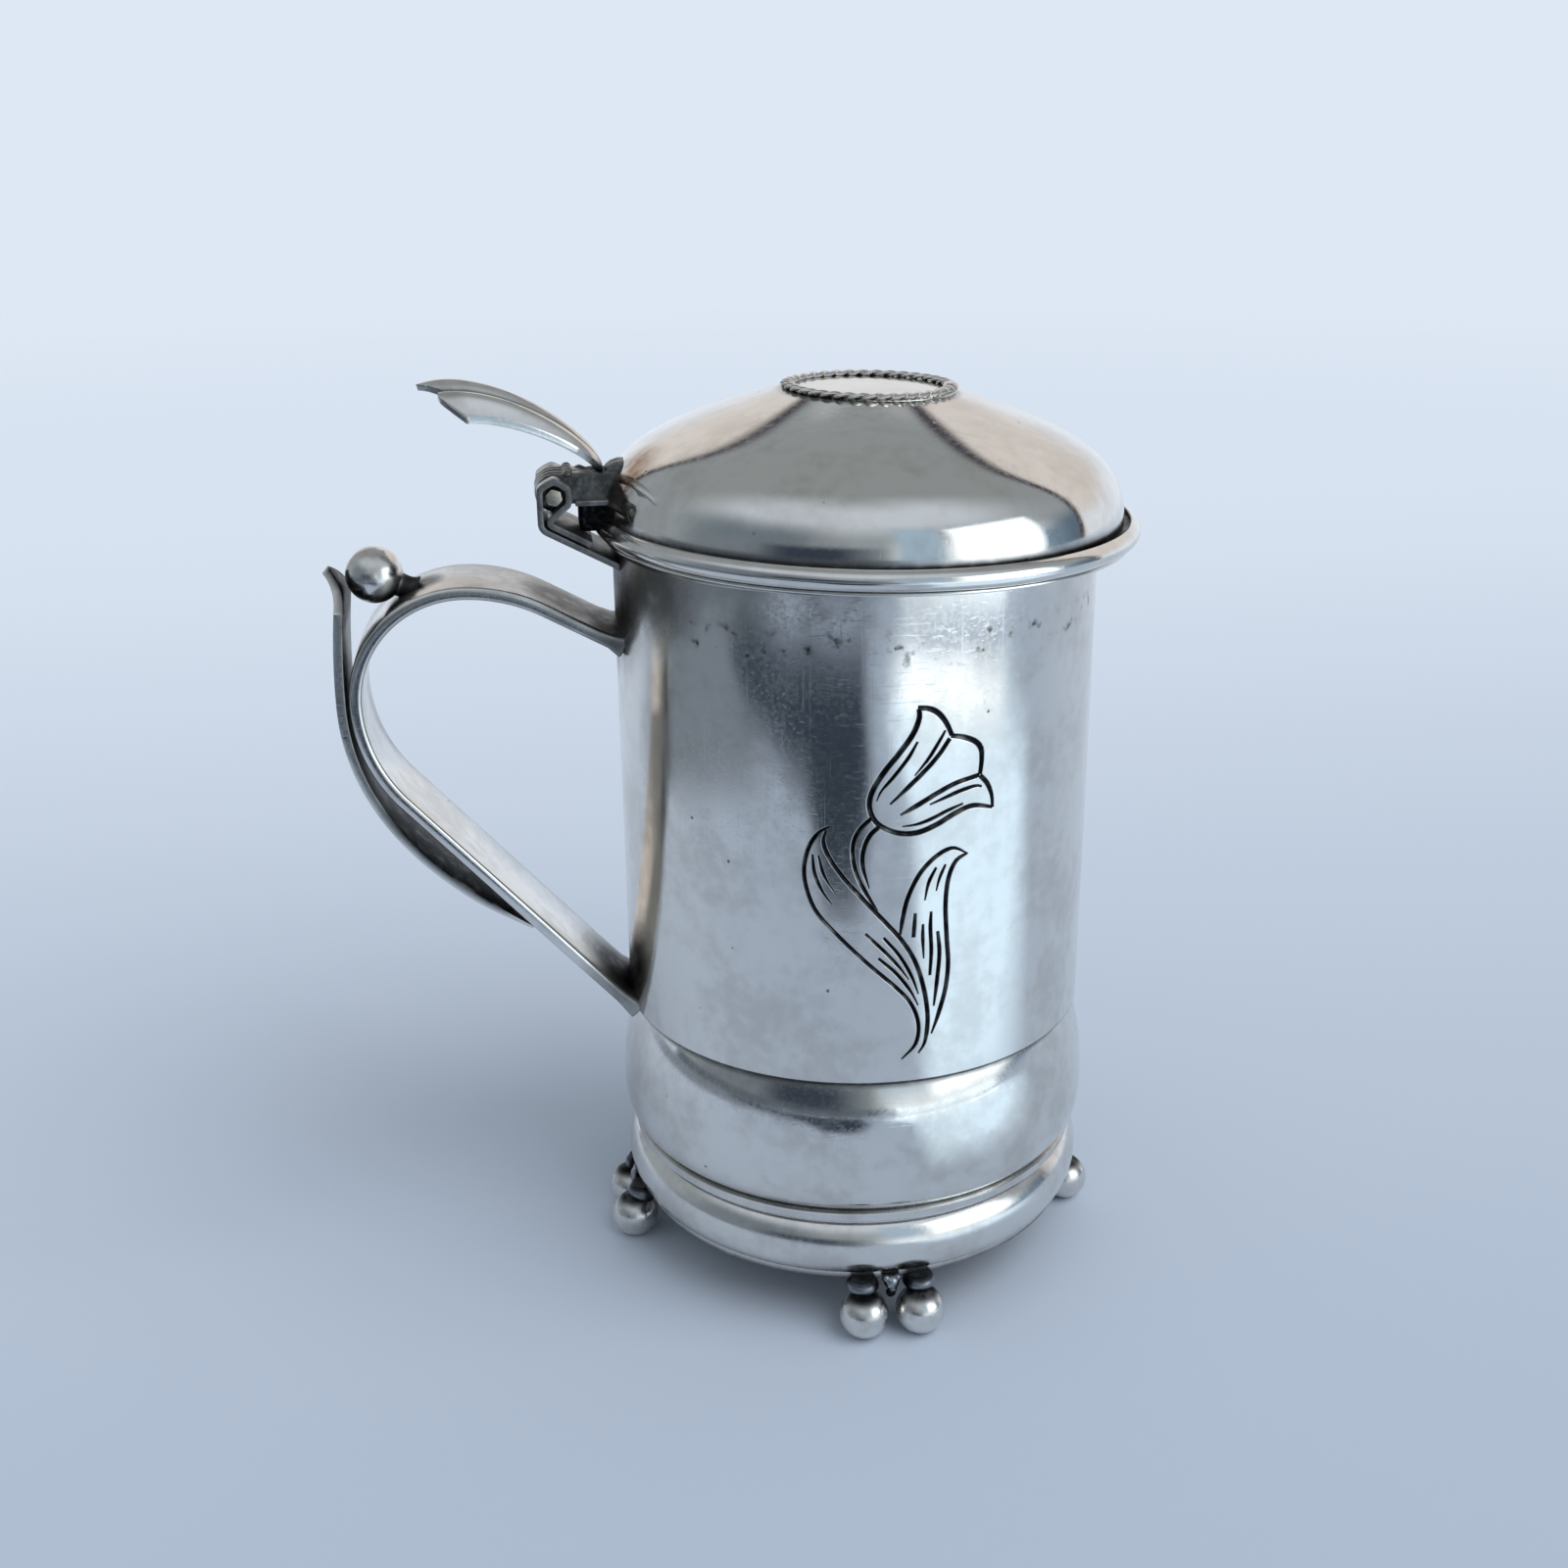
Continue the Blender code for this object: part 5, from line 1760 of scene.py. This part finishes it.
    def _pin(self, bench: Bench) -> None:
        """The pin, its ends filed to blunt six-sided heads.

        Args:
            bench: the bench to work on.
        """
        length = self.width + self.pin_proud
        piece = bench.begin("silver_hinge_pin", Start.CYLINDER, (-self.pin_reach, 0.0, self.pin_height),
                            vertices=24, radius=self.pin, depth=length, rotation=(math.pi / 2, 0.0, 0.0))
        sixth = math.pi / 3
        for vert in piece.data.vertices:
            angle = math.atan2(vert.co.z - self.pin_height, vert.co.x + self.pin_reach)
            flat = math.cos(sixth / 2) / math.cos((angle + self.pin_twist) % sixth - sixth / 2)
            away = self.pin * self.pin_swell * flat
            vert.co.x = -self.pin_reach + away * math.cos(angle)
            vert.co.z = self.pin_height + away * math.sin(angle)
        bench.round_edges(piece, 0.14, 50.0)
        bench.blacken(piece, lambda p: 0.6 * smooth_step(0.3, 0.0, abs(p.y) - length / 2 + 0.4))
        bench.settle(piece, self.pin_finish, Body.CUP, "hinge_pin", slot=Slot.OXIDISED)

    def _bracket(self, bench: Bench, lid: Lid) -> None:
        """The bracket: reeds over the knuckle that end in small scrolls, with a plate and a block below,
        painted black for the shadow under the knuckle.

        Args:
            bench: the bench to work on.
            lid: the lid that the bracket is fitted to.
        """
        slices = self.reeds * self.reed_slices
        sections = []
        for i in range(slices + 1):
            share = i / slices
            dip = self.reed_depth * (1 - abs(math.sin(math.pi * self.reeds * share)))
            y = self.knuckle_width * (share - 0.5)
            section = []
            for reach, height in self._side(dip, y):
                narrow = 1.0 - self.waist * smooth_step(*self.waist_reach, reach)
                section.append(Vector((-reach, y * narrow, height)))
            sections.append(section)
        parts = [bench.skin("silver_bracket", sections)]
        for i in range(self.reeds):
            scroll = bench.begin("reed_scroll", Start.BALL, segments=20, ring_count=14,
                                 radius=self.knuckle_width / self.reeds * self.scroll)
            place = (-self.pin_reach + self.scroll_back, self.knuckle_width * ((i + 0.5) / self.reeds - 0.5),
                     self.pin_height + self.knuckle - self.scroll_sink)
            scroll.data.transform(Matrix.Translation(place) @ Matrix.Diagonal((*self.scroll_size, 1.0)))
            parts.append(scroll)
        for slab in self.slabs:
            front = self.pin_reach - slab.back
            middle = (-(front + self.bracket_end) / 2, 0.0, self.pin_height - slab.drop)
            bar = bench.begin("bracket_bar", Start.CUBE, middle, size=1.0,
                              scale=(front - self.bracket_end, slab.width, slab.height))
            bench.round_edges(bar, slab.ease)
            parts.append(bar)
        for part in parts:
            self._fit(bench, part, lid)
        piece = bench.join(parts, "silver_bracket")

        def black(p: Vector) -> float:
            """Painted shade between the reeds, with oxide, black over the flat part by the dome, clean on the
            reeds' crests.

            Args:
                p: place on the piece.

            Returns:
                Share of black.
            """
            share = (p.y / self.knuckle_width + 0.5) * self.reeds % 1.0
            valley_shade = smooth_step(0.38, 0.1, 0.5 - abs(share - 0.5))
            by_dome = smooth_step(2.2, 3.6, p.x + self.pin_reach)
            # painted shadow: everything below the knuckle's middle, the plate and block included, is black
            if p.z < self.pin_height - 1.3:
                return 1.0
            plate_edge = abs(p.y) > self.knuckle_width / 2 + 0.3
            return 0.2 if plate_edge else max(0.8 * valley_shade, 0.55 * by_dome)

        bench.blacken(piece, black)
        bench.settle(piece, self.bracket_finish, Body.LID, "lid_hinge_leaf", slot=Slot.OXIDISED)

    def _fit(self, bench: Bench, part: Piece, lid: Lid) -> None:
        """Cuts a part of the bracket to the dome's side.

        Args:
            bench: the bench to work on.
            part: the part.
            lid: the lid that it meets.
        """
        outer = lid.outline(30)
        closed = outer + [(outer[-1][0], lid.rim_bottom), (0.0, lid.rim_bottom)]
        tool = bench.turn("dome_tool", closed, 96)
        tool.data.transform(Matrix.Translation((lid.offset, 0.0, 0.0)))
        bench.cut(part, tool)

    def _side(self, dip: float, y: float) -> list[Point]:
        """Side outline of the bracket, drawn in over the knuckle by a reed's dip, its top lumpy with solder.

        Args:
            dip: depth below the crests.
            y: place across the bracket.

        Returns:
            Closed outline of (reach, height).
        """
        radius = self.knuckle - dip
        end = self.bracket_end
        root = self.thumb_root - 0.5
        low = 180 + math.degrees(math.asin(min(1.0, self.plate_drop / radius)))
        points = [(end, self.pin_height - self.plate_drop)]
        points += arc((self.pin_reach, self.pin_height), radius, low, 450, 40)
        points += [(self.pin_reach - 1.2, self.pin_height + radius)]
        top = self.pin_height + self.knuckle
        for i in range(13):
            reach = self.pin_reach - 1.7 + (root - self.pin_reach + 1.7) * i / 12
            points.append((reach, top - 0.15 + 0.45 * noise.noise(Vector((reach, 0.8 * y, 0.0)))))
        riser = self.riser * smooth_step(2.3, 1.5, abs(y))
        points += [(root - back, top + share * riser) for back, share in self.riser_steps]
        points += [(end, top + 1.1 * riser)]
        return points


@dataclass
class Thumbpiece:
    """A fluted shell with three lobes that lies back over the hinge."""

    root: Point = (27.0, 91.5)
    tip: Point = (45.1, 100.35)
    root_pull: float = 3.3
    tip_pull: Point = (7.1, 2.4)
    thickness: float = 0.7
    root_half: float = 1.5
    tip_half: float = 5.2
    droop: float = 3.0
    flute: float = 0.95
    lobe_setback: float = 0.15
    notch_setback: float = 0.09
    edge: float = 0.14
    rows: int = 56
    columns: int = 60
    fine: int = 480
    finish: Silver = Silver("fluted_silver_thumbpiece", roughness=0.14, tarnish_share=0.5, patch_mm=5.0,
                            wave_depth_mm=0.015)

    def build(self, bench: Bench) -> None:
        """Makes and dresses the shell.

        Args:
            bench: the bench to work on.
        """
        fine = self.fine
        pull = (self.tip[0] - self.tip_pull[0], self.tip[1] + self.tip_pull[1])
        path = bezier(self.root, (self.root[0], self.root[1] + self.root_pull), pull, self.tip, fine)
        sides = path_normals(path)
        sections = []
        for i in range(self.rows + 1):
            top, under = [], []
            for j in range(self.columns + 1):
                v = 2.0 * j / self.columns - 1.0
                dip = self._dip(v)
                u = (1.0 - self.lobe_setback * abs(v) - self.notch_setback * dip) * i / self.rows
                k = round(u * fine)
                half = self.root_half + (self.tip_half - self.root_half) * u
                low = u * (self.droop * v * v + self.flute * dip)
                for row, face in ((top, self.thickness / 2), (under, -self.thickness / 2)):
                    lift = sides[k] * (face - low)
                    row.append(Vector((-path[k][0] - lift.x, v * half, path[k][1] + lift.y)))
            sections.append(top + under[::-1])
        piece = bench.skin("silver_thumb_shell", sections, strip=True)
        bench.round_edges(piece, self.edge, 60.0)

        def black(p: Vector) -> float:
            """Black at the root, and painted shade in the creases between the lobes.

            Args:
                p: place on the piece.

            Returns:
                Share of black.
            """
            k = min(range(fine + 1), key=lambda i: abs(path[i][0] + p.x))
            half = self.root_half + (self.tip_half - self.root_half) * k / fine
            # painted shade in the creases
            crease_shade = smooth_step(0.55, 0.95, self._dip(p.y / half)) if abs(p.y) < 0.7 * half else 0.0
            return max(smooth_step(self.root[1] + 1.6, self.root[1] + 0.2, p.z), 0.8 * crease_shade)

        bench.blacken(piece, black)
        bench.settle(piece, self.finish, Body.LID, "thumbpiece", angle=45.0)

    @staticmethod
    def _dip(v: float) -> float:
        """Depth of the flutes across the shell, sharp between the lobes and at the sides."""
        return 1.0 - abs(math.cos(1.5 * math.pi * v))


@dataclass(frozen=True)
class RoomPart:
    """A part of the room that the silver mirrors, square or arched.

    Heading, half width, top and the soft edges of both are in degrees.
    """

    colour: str
    heading: float
    half: float
    soft: float
    top: float = 36.0
    top_soft: float = 16.0
    arch: bool = False


@dataclass(frozen=True)
class Card:
    """A flat glowing card that only the silver sees, standing for a part of the room in its reflections.

    Its corners are in millimetres about the barrel's axis, and soft is the share of soft edge.
    """

    name: str
    corners: tuple[Place, ...]
    colour: str
    strength: float
    soft: float


def standing(start: Point, end: Point, low: float, high: float) -> tuple[Place, ...]:
    """Corners of an upright card between two spots of the floor."""
    return (*start, low), (*end, low), (*end, high), (*start, high)


def lying(height: float, *spots: Point) -> tuple[Place, ...]:
    """Corners of a card that lies flat at a height."""
    return tuple((x, y, height) for x, y in spots)


@dataclass
class Studio:
    """A pale sweep in a plain room, seen from the photograph's place."""

    eye: Place = (-33.86, -192.04, 128.05)
    yaw: float = 7.71
    pitch: float = 20.62
    roll: float = -0.54
    lens: float = 42.19
    sensor: float = 36.0
    floor_reach: float = 3.0
    floor_fade: Point = (0.55, 1.1)
    floor_near: str = "#aab8cb"
    floor_far: str = "#dbe4f0"
    floor_depths: Point = (-0.22, 0.42)
    sky: str = "#dee7f4"
    plain_light: str = "#cccfd2"
    room_light: float = 1.3
    ceiling: str = "#858a8c"
    parts: tuple[RoomPart, ...] = (
        RoomPart("#b8c0ca", -10.0, 85.0, 30.0, 77.0, 14.0),
        RoomPart("#8b9399", 0.0, 200.0, 1.0),
        RoomPart("#67727b", -60.0, 30.0, 14.0),
        RoomPart("#6c757d", -42.0, 42.0, 8.0, 13.0, 4.0),
        RoomPart("#343b48", -31.0, 19.0, 10.0, 12.0, 4.0),
        RoomPart("#dbe4ea", 42.0, 36.0, 9.0, 20.0, 14.0),
        RoomPart("#6d8293", 82.0, 14.0, 6.0, 15.0, 8.0),
        RoomPart("#566777", 104.0, 18.0, 8.0, 20.0, 10.0),
        RoomPart("#413e46", 193.0, 26.0, 1.2, 41.0, arch=True),
        RoomPart("#413e46", 135.0, 39.0, 1.2, 49.0, arch=True),
        RoomPart("#cbc6c3", 193.0, 22.5, 1.2, 37.5, arch=True),
        RoomPart("#cbc6c3", 135.0, 35.5, 1.2, 45.5, arch=True),
        RoomPart("#d3dae4", 158.0, 57.0, 3.0, 12.0, 10.0),
        RoomPart("#d0d1d4", 169.0, 8.0, 3.0, 40.0, 3.0))
    cards: tuple[Card, ...] = (
        Card("window", standing((104.0, -215.0), (240.0, -80.0), 25.0, 250.0), "#eef7ff", 2.8, 0.36),
        Card("window_edge", standing((10.0, -216.0), (102.0, -216.0), 30.0, 280.0), "#b4cde2", 0.9, 0.36),
        Card("sunny_cloth", lying(0.5, (18.0, -55.0), (60.0, -22.0), (120.0, -25.0), (215.0, -45.0),
                                  (270.0, -130.0), (60.0, -285.0), (-2.0, -262.0), (38.0, -205.0),
                                  (44.0, -160.0), (30.0, -110.0)), "#c6dbec", 1.6, 0.28),
        Card("shaded_cloth", lying(0.4, (-130.0, -135.0), (-160.0, -60.0), (-165.0, 40.0), (-140.0, 130.0),
                                   (-300.0, 190.0), (-370.0, 40.0), (-360.0, -120.0), (-270.0, -270.0),
                                   (-180.0, -215.0)), "#7d8894", 1.0, 0.42),
        Card("window_floor", lying(0.6, (60.0, -335.0), (200.0, -262.0), (285.0, -150.0), (900.0, -500.0),
                                   (500.0, -1300.0), (260.0, -1450.0)), "#d8e7f2", 1.8, 0.04),
        Card("window_sill", lying(0.8, (10.0, -262.0), (95.0, -220.0), (165.0, -160.0), (208.0, -105.0),
                                  (236.0, -122.0), (180.0, -216.0), (64.0, -286.0)), "#f2faff", 1.95, 0.2),
        Card("dim_wall_foot", lying(0.6, (20.0, -350.0), (-220.0, -275.0), (-320.0, -80.0), (-320.0, 80.0),
                                    (-1200.0, 300.0), (-1400.0, -500.0), (-700.0, -1300.0), (200.0, -1500.0)),
             "#5f6873", 1.0, 0.04),
        Card("dim_corner", lying(0.7, (-47.0, -122.0), (-12.0, -130.0), (-2.0, -160.0), (4.0, -206.0),
                                 (-12.0, -262.0), (-18.0, -306.0), (-150.0, -272.0), (-285.0, -165.0),
                                 (-290.0, -95.0), (-165.0, -145.0), (-100.0, -162.0), (-65.0, -142.0)),
             "#323d4a", 1.0, 0.2))
    sun_power: float = 1.5
    sun_spread: float = 50.0
    sun_heading: float = 50.0
    sun_height: float = 50.0

    def build(self, axis_x: float) -> None:
        """Sets floor, world, cards, lamp and camera.

        Args:
            axis_x: where the barrel's axis stands, in metres.
        """
        self._camera(axis_x)
        self._floor()
        self._world()
        for card in self.cards:
            self._card(card, axis_x)
        self._lamp()
        bpy.context.scene.view_settings.view_transform = "Standard"

    def _camera(self, axis_x: float) -> None:
        """The camera, for a square picture.

        Args:
            axis_x: where the barrel's axis stands, in metres.
        """
        data = bpy.data.cameras.new("camera")
        data.lens = self.lens
        data.sensor_width = self.sensor
        data.sensor_fit = "HORIZONTAL"
        data.clip_start = 0.01
        data.clip_end = 100.0
        camera = bpy.data.objects.new("camera", data)
        bpy.context.scene.collection.objects.link(camera)
        turn = Matrix.Rotation(math.radians(-self.yaw), 4, "Z")
        turn = turn @ Matrix.Rotation(math.radians(90 - self.pitch), 4, "X")
        turn = turn @ Matrix.Rotation(math.radians(self.roll), 4, "Z")
        spot = Vector(self.eye) * MM + Vector((axis_x, 0.0, 0.0))
        camera.matrix_world = Matrix.Translation(spot) @ turn
        bpy.context.scene.camera = camera

    def _floor(self) -> None:
        """A plain pale cloth with painted light, darker at the front and lighter towards the back, fading
        into the sky with no horizon.
        """
        bpy.ops.object.select_all(action="DESELECT")
        bpy.ops.mesh.primitive_plane_add(size=2 * self.floor_reach, location=(0.0, 0.0, 0.0))
        floor = bpy.context.object
        floor.name = "floor"
        made = bpy.data.materials.new("pale_matt_cloth")
        made.use_nodes = True
        tree = made.node_tree
        tree.nodes.clear()
        where = node(tree, "TexCoord", out="Object")
        depth = node(tree, "SeparateXYZ", {"Vector": where}, "Y")
        away = node(tree, "VectorMath", {0: where}, "Value", operation="LENGTH")
        share, fade = (
            node(tree, "MapRange", {"Value": value, "From Min": low, "From Max": high}, **SOFT_RAMP)
            for value, (low, high) in ((depth, self.floor_depths), (away, self.floor_fade)))
        # painted light: the gradient stands in for the light on the cloth, darker at the front
        shade = node(tree, "Mix", {0: share, 6: linear(self.floor_near), 7: linear(self.floor_far)}, 2,
                     data_type="RGBA")
        cloth = node(tree, "BsdfDiffuse", {"Color": shade})
        cloth = node(tree, "MixShader", {0: fade, 1: cloth, 2: node(tree, "BsdfTransparent")})
        node(tree, "OutputMaterial", {"Surface": cloth})
        floor.data.materials.append(made)

    def _world(self) -> None:
        """Plain light for matt things, a pale sky for the camera and a room for the silver to mirror."""
        world = bpy.data.worlds.new("room")
        bpy.context.scene.world = world
        world.use_nodes = True
        tree = world.node_tree
        tree.nodes.clear()
        where = node(tree, "TexCoord", out="Generated")
        x, y, z = (node(tree, "SeparateXYZ", {"Vector": where}, axis) for axis in "XYZ")
        front = node(tree, "Math", {0: y, 1: -1.0}, operation="MULTIPLY")
        heading = node(tree, "Math", {0: x, 1: front}, operation="ARCTAN2")
        height = node(tree, "Math", {0: z}, operation="ARCSINE")
        room = linear(self.ceiling)
        for part in self.parts:
            off = node(tree, "Math", {0: heading, 1: math.radians(part.heading)}, operation="SUBTRACT")
            off = node(tree, "Math", {0: off, 1: math.pi, 2: -math.pi}, operation="WRAP")
            off = node(tree, "Math", {0: off}, operation="ABSOLUTE")
            if part.arch:
                across, up = (node(tree, "Math", {0: value, 1: math.radians(limit)}, operation="DIVIDE")
                              for value, limit in ((off, part.half), (height, part.top)))
                spot = node(tree, "CombineXYZ", {0: across, 1: up})
                away = node(tree, "VectorMath", {0: spot}, "Value", operation="LENGTH")
                soft = part.soft / part.half
                share = node(tree, "MapRange", {"Value": away, "From Min": 1 + soft, "From Max": 1 - soft},
                             **SOFT_RAMP)
            else:
                wide, tall = (node(tree, "MapRange", {"Value": value, "From Min": math.radians(limit + soft),
                                                      "From Max": math.radians(limit - soft)}, **SOFT_RAMP)
                              for value, limit, soft in ((off, part.half, part.soft),
                                                         (height, part.top, part.top_soft)))
                share = node(tree, "Math", {0: wide, 1: tall}, operation="MULTIPLY")
            room = node(tree, "Mix", {0: share, 6: room, 7: linear(part.colour)}, 2, data_type="RGBA")
        room = node(tree, "VectorMath", {0: room, "Scale": self.room_light}, operation="SCALE")
        seen = linear(self.plain_light)
        for ray, colour in (("Is Glossy Ray", room), ("Is Camera Ray", linear(self.sky))):
            chosen = node(tree, "LightPath", out=ray)
            seen = node(tree, "Mix", {0: chosen, 6: seen, 7: colour}, 2, data_type="RGBA")
        light = node(tree, "Background", {"Color": seen, "Strength": 1.0})
        node(tree, "OutputWorld", {"Surface": light})

    @staticmethod
    def _card(card: Card, axis_x: float) -> None:
        """Puts up one card.

        Args:
            card: the card.
            axis_x: where the barrel's axis stands, in metres.
        """
        mesh = bpy.data.meshes.new(card.name)
        count = len(card.corners)
        outer = [Vector(corner) * MM + Vector((axis_x, 0.0, 0.0)) for corner in card.corners]
        heart = sum(outer, Vector()) / count
        inner = [heart + (corner - heart) * (1.0 - card.soft) for corner in outer]
        ring = [(i, (i + 1) % count, count + (i + 1) % count, count + i) for i in range(count)]
        mesh.from_pydata(outer + inner, [], ring + [range(count, 2 * count)])
        mesh.attributes.new(GLOW, "FLOAT", "POINT").data.foreach_set("value", [0.0] * count + [1.0] * count)
        sheet = bpy.data.objects.new(card.name, mesh)
        bpy.context.scene.collection.objects.link(sheet)
        made = bpy.data.materials.new(card.name)
        made.use_nodes = True
        tree = made.node_tree
        tree.nodes.clear()
        glow = node(tree, "Emission", {"Color": linear(card.colour), "Strength": card.strength})
        share = node(tree, "Attribute", out="Fac", attribute_name=GLOW)
        glow = node(tree, "MixShader", {0: share, 1: node(tree, "BsdfTransparent"), 2: glow})
        node(tree, "OutputMaterial", {"Surface": glow})
        mesh.materials.append(made)
        sheet.visible_camera = False
        sheet.visible_diffuse = False
        sheet.visible_shadow = False
        sheet.visible_transmission = False

    def _lamp(self) -> None:
        """One wide soft lamp on the window's side, for the floor and the soft shadow on it."""
        data = bpy.data.lights.new("soft_daylight", "SUN")
        data.energy = self.sun_power
        data.angle = math.radians(self.sun_spread)
        lamp = bpy.data.objects.new("soft_daylight", data)
        bpy.context.scene.collection.objects.link(lamp)
        lamp.rotation_euler = (math.radians(90 - self.sun_height), 0.0, math.radians(self.sun_heading))
        lamp.visible_glossy = False


def main() -> None:
    """Loads the frame, builds every class in order and notes the sizes."""
    logging.basicConfig(level=logging.INFO, format="%(message)s")
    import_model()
    low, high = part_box("body_barrel")
    axis_x = (low[0] + high[0]) / 2
    bench = Bench(axis_x)
    lid = Lid()
    Studio().build(axis_x)
    Cup().build(bench)
    Feet().build(bench)
    Handle().build(bench)
    lid.build(bench)
    Hinge().build(bench, lid)
    Thumbpiece().build(bench)


if __name__ == "__main__":
    main()
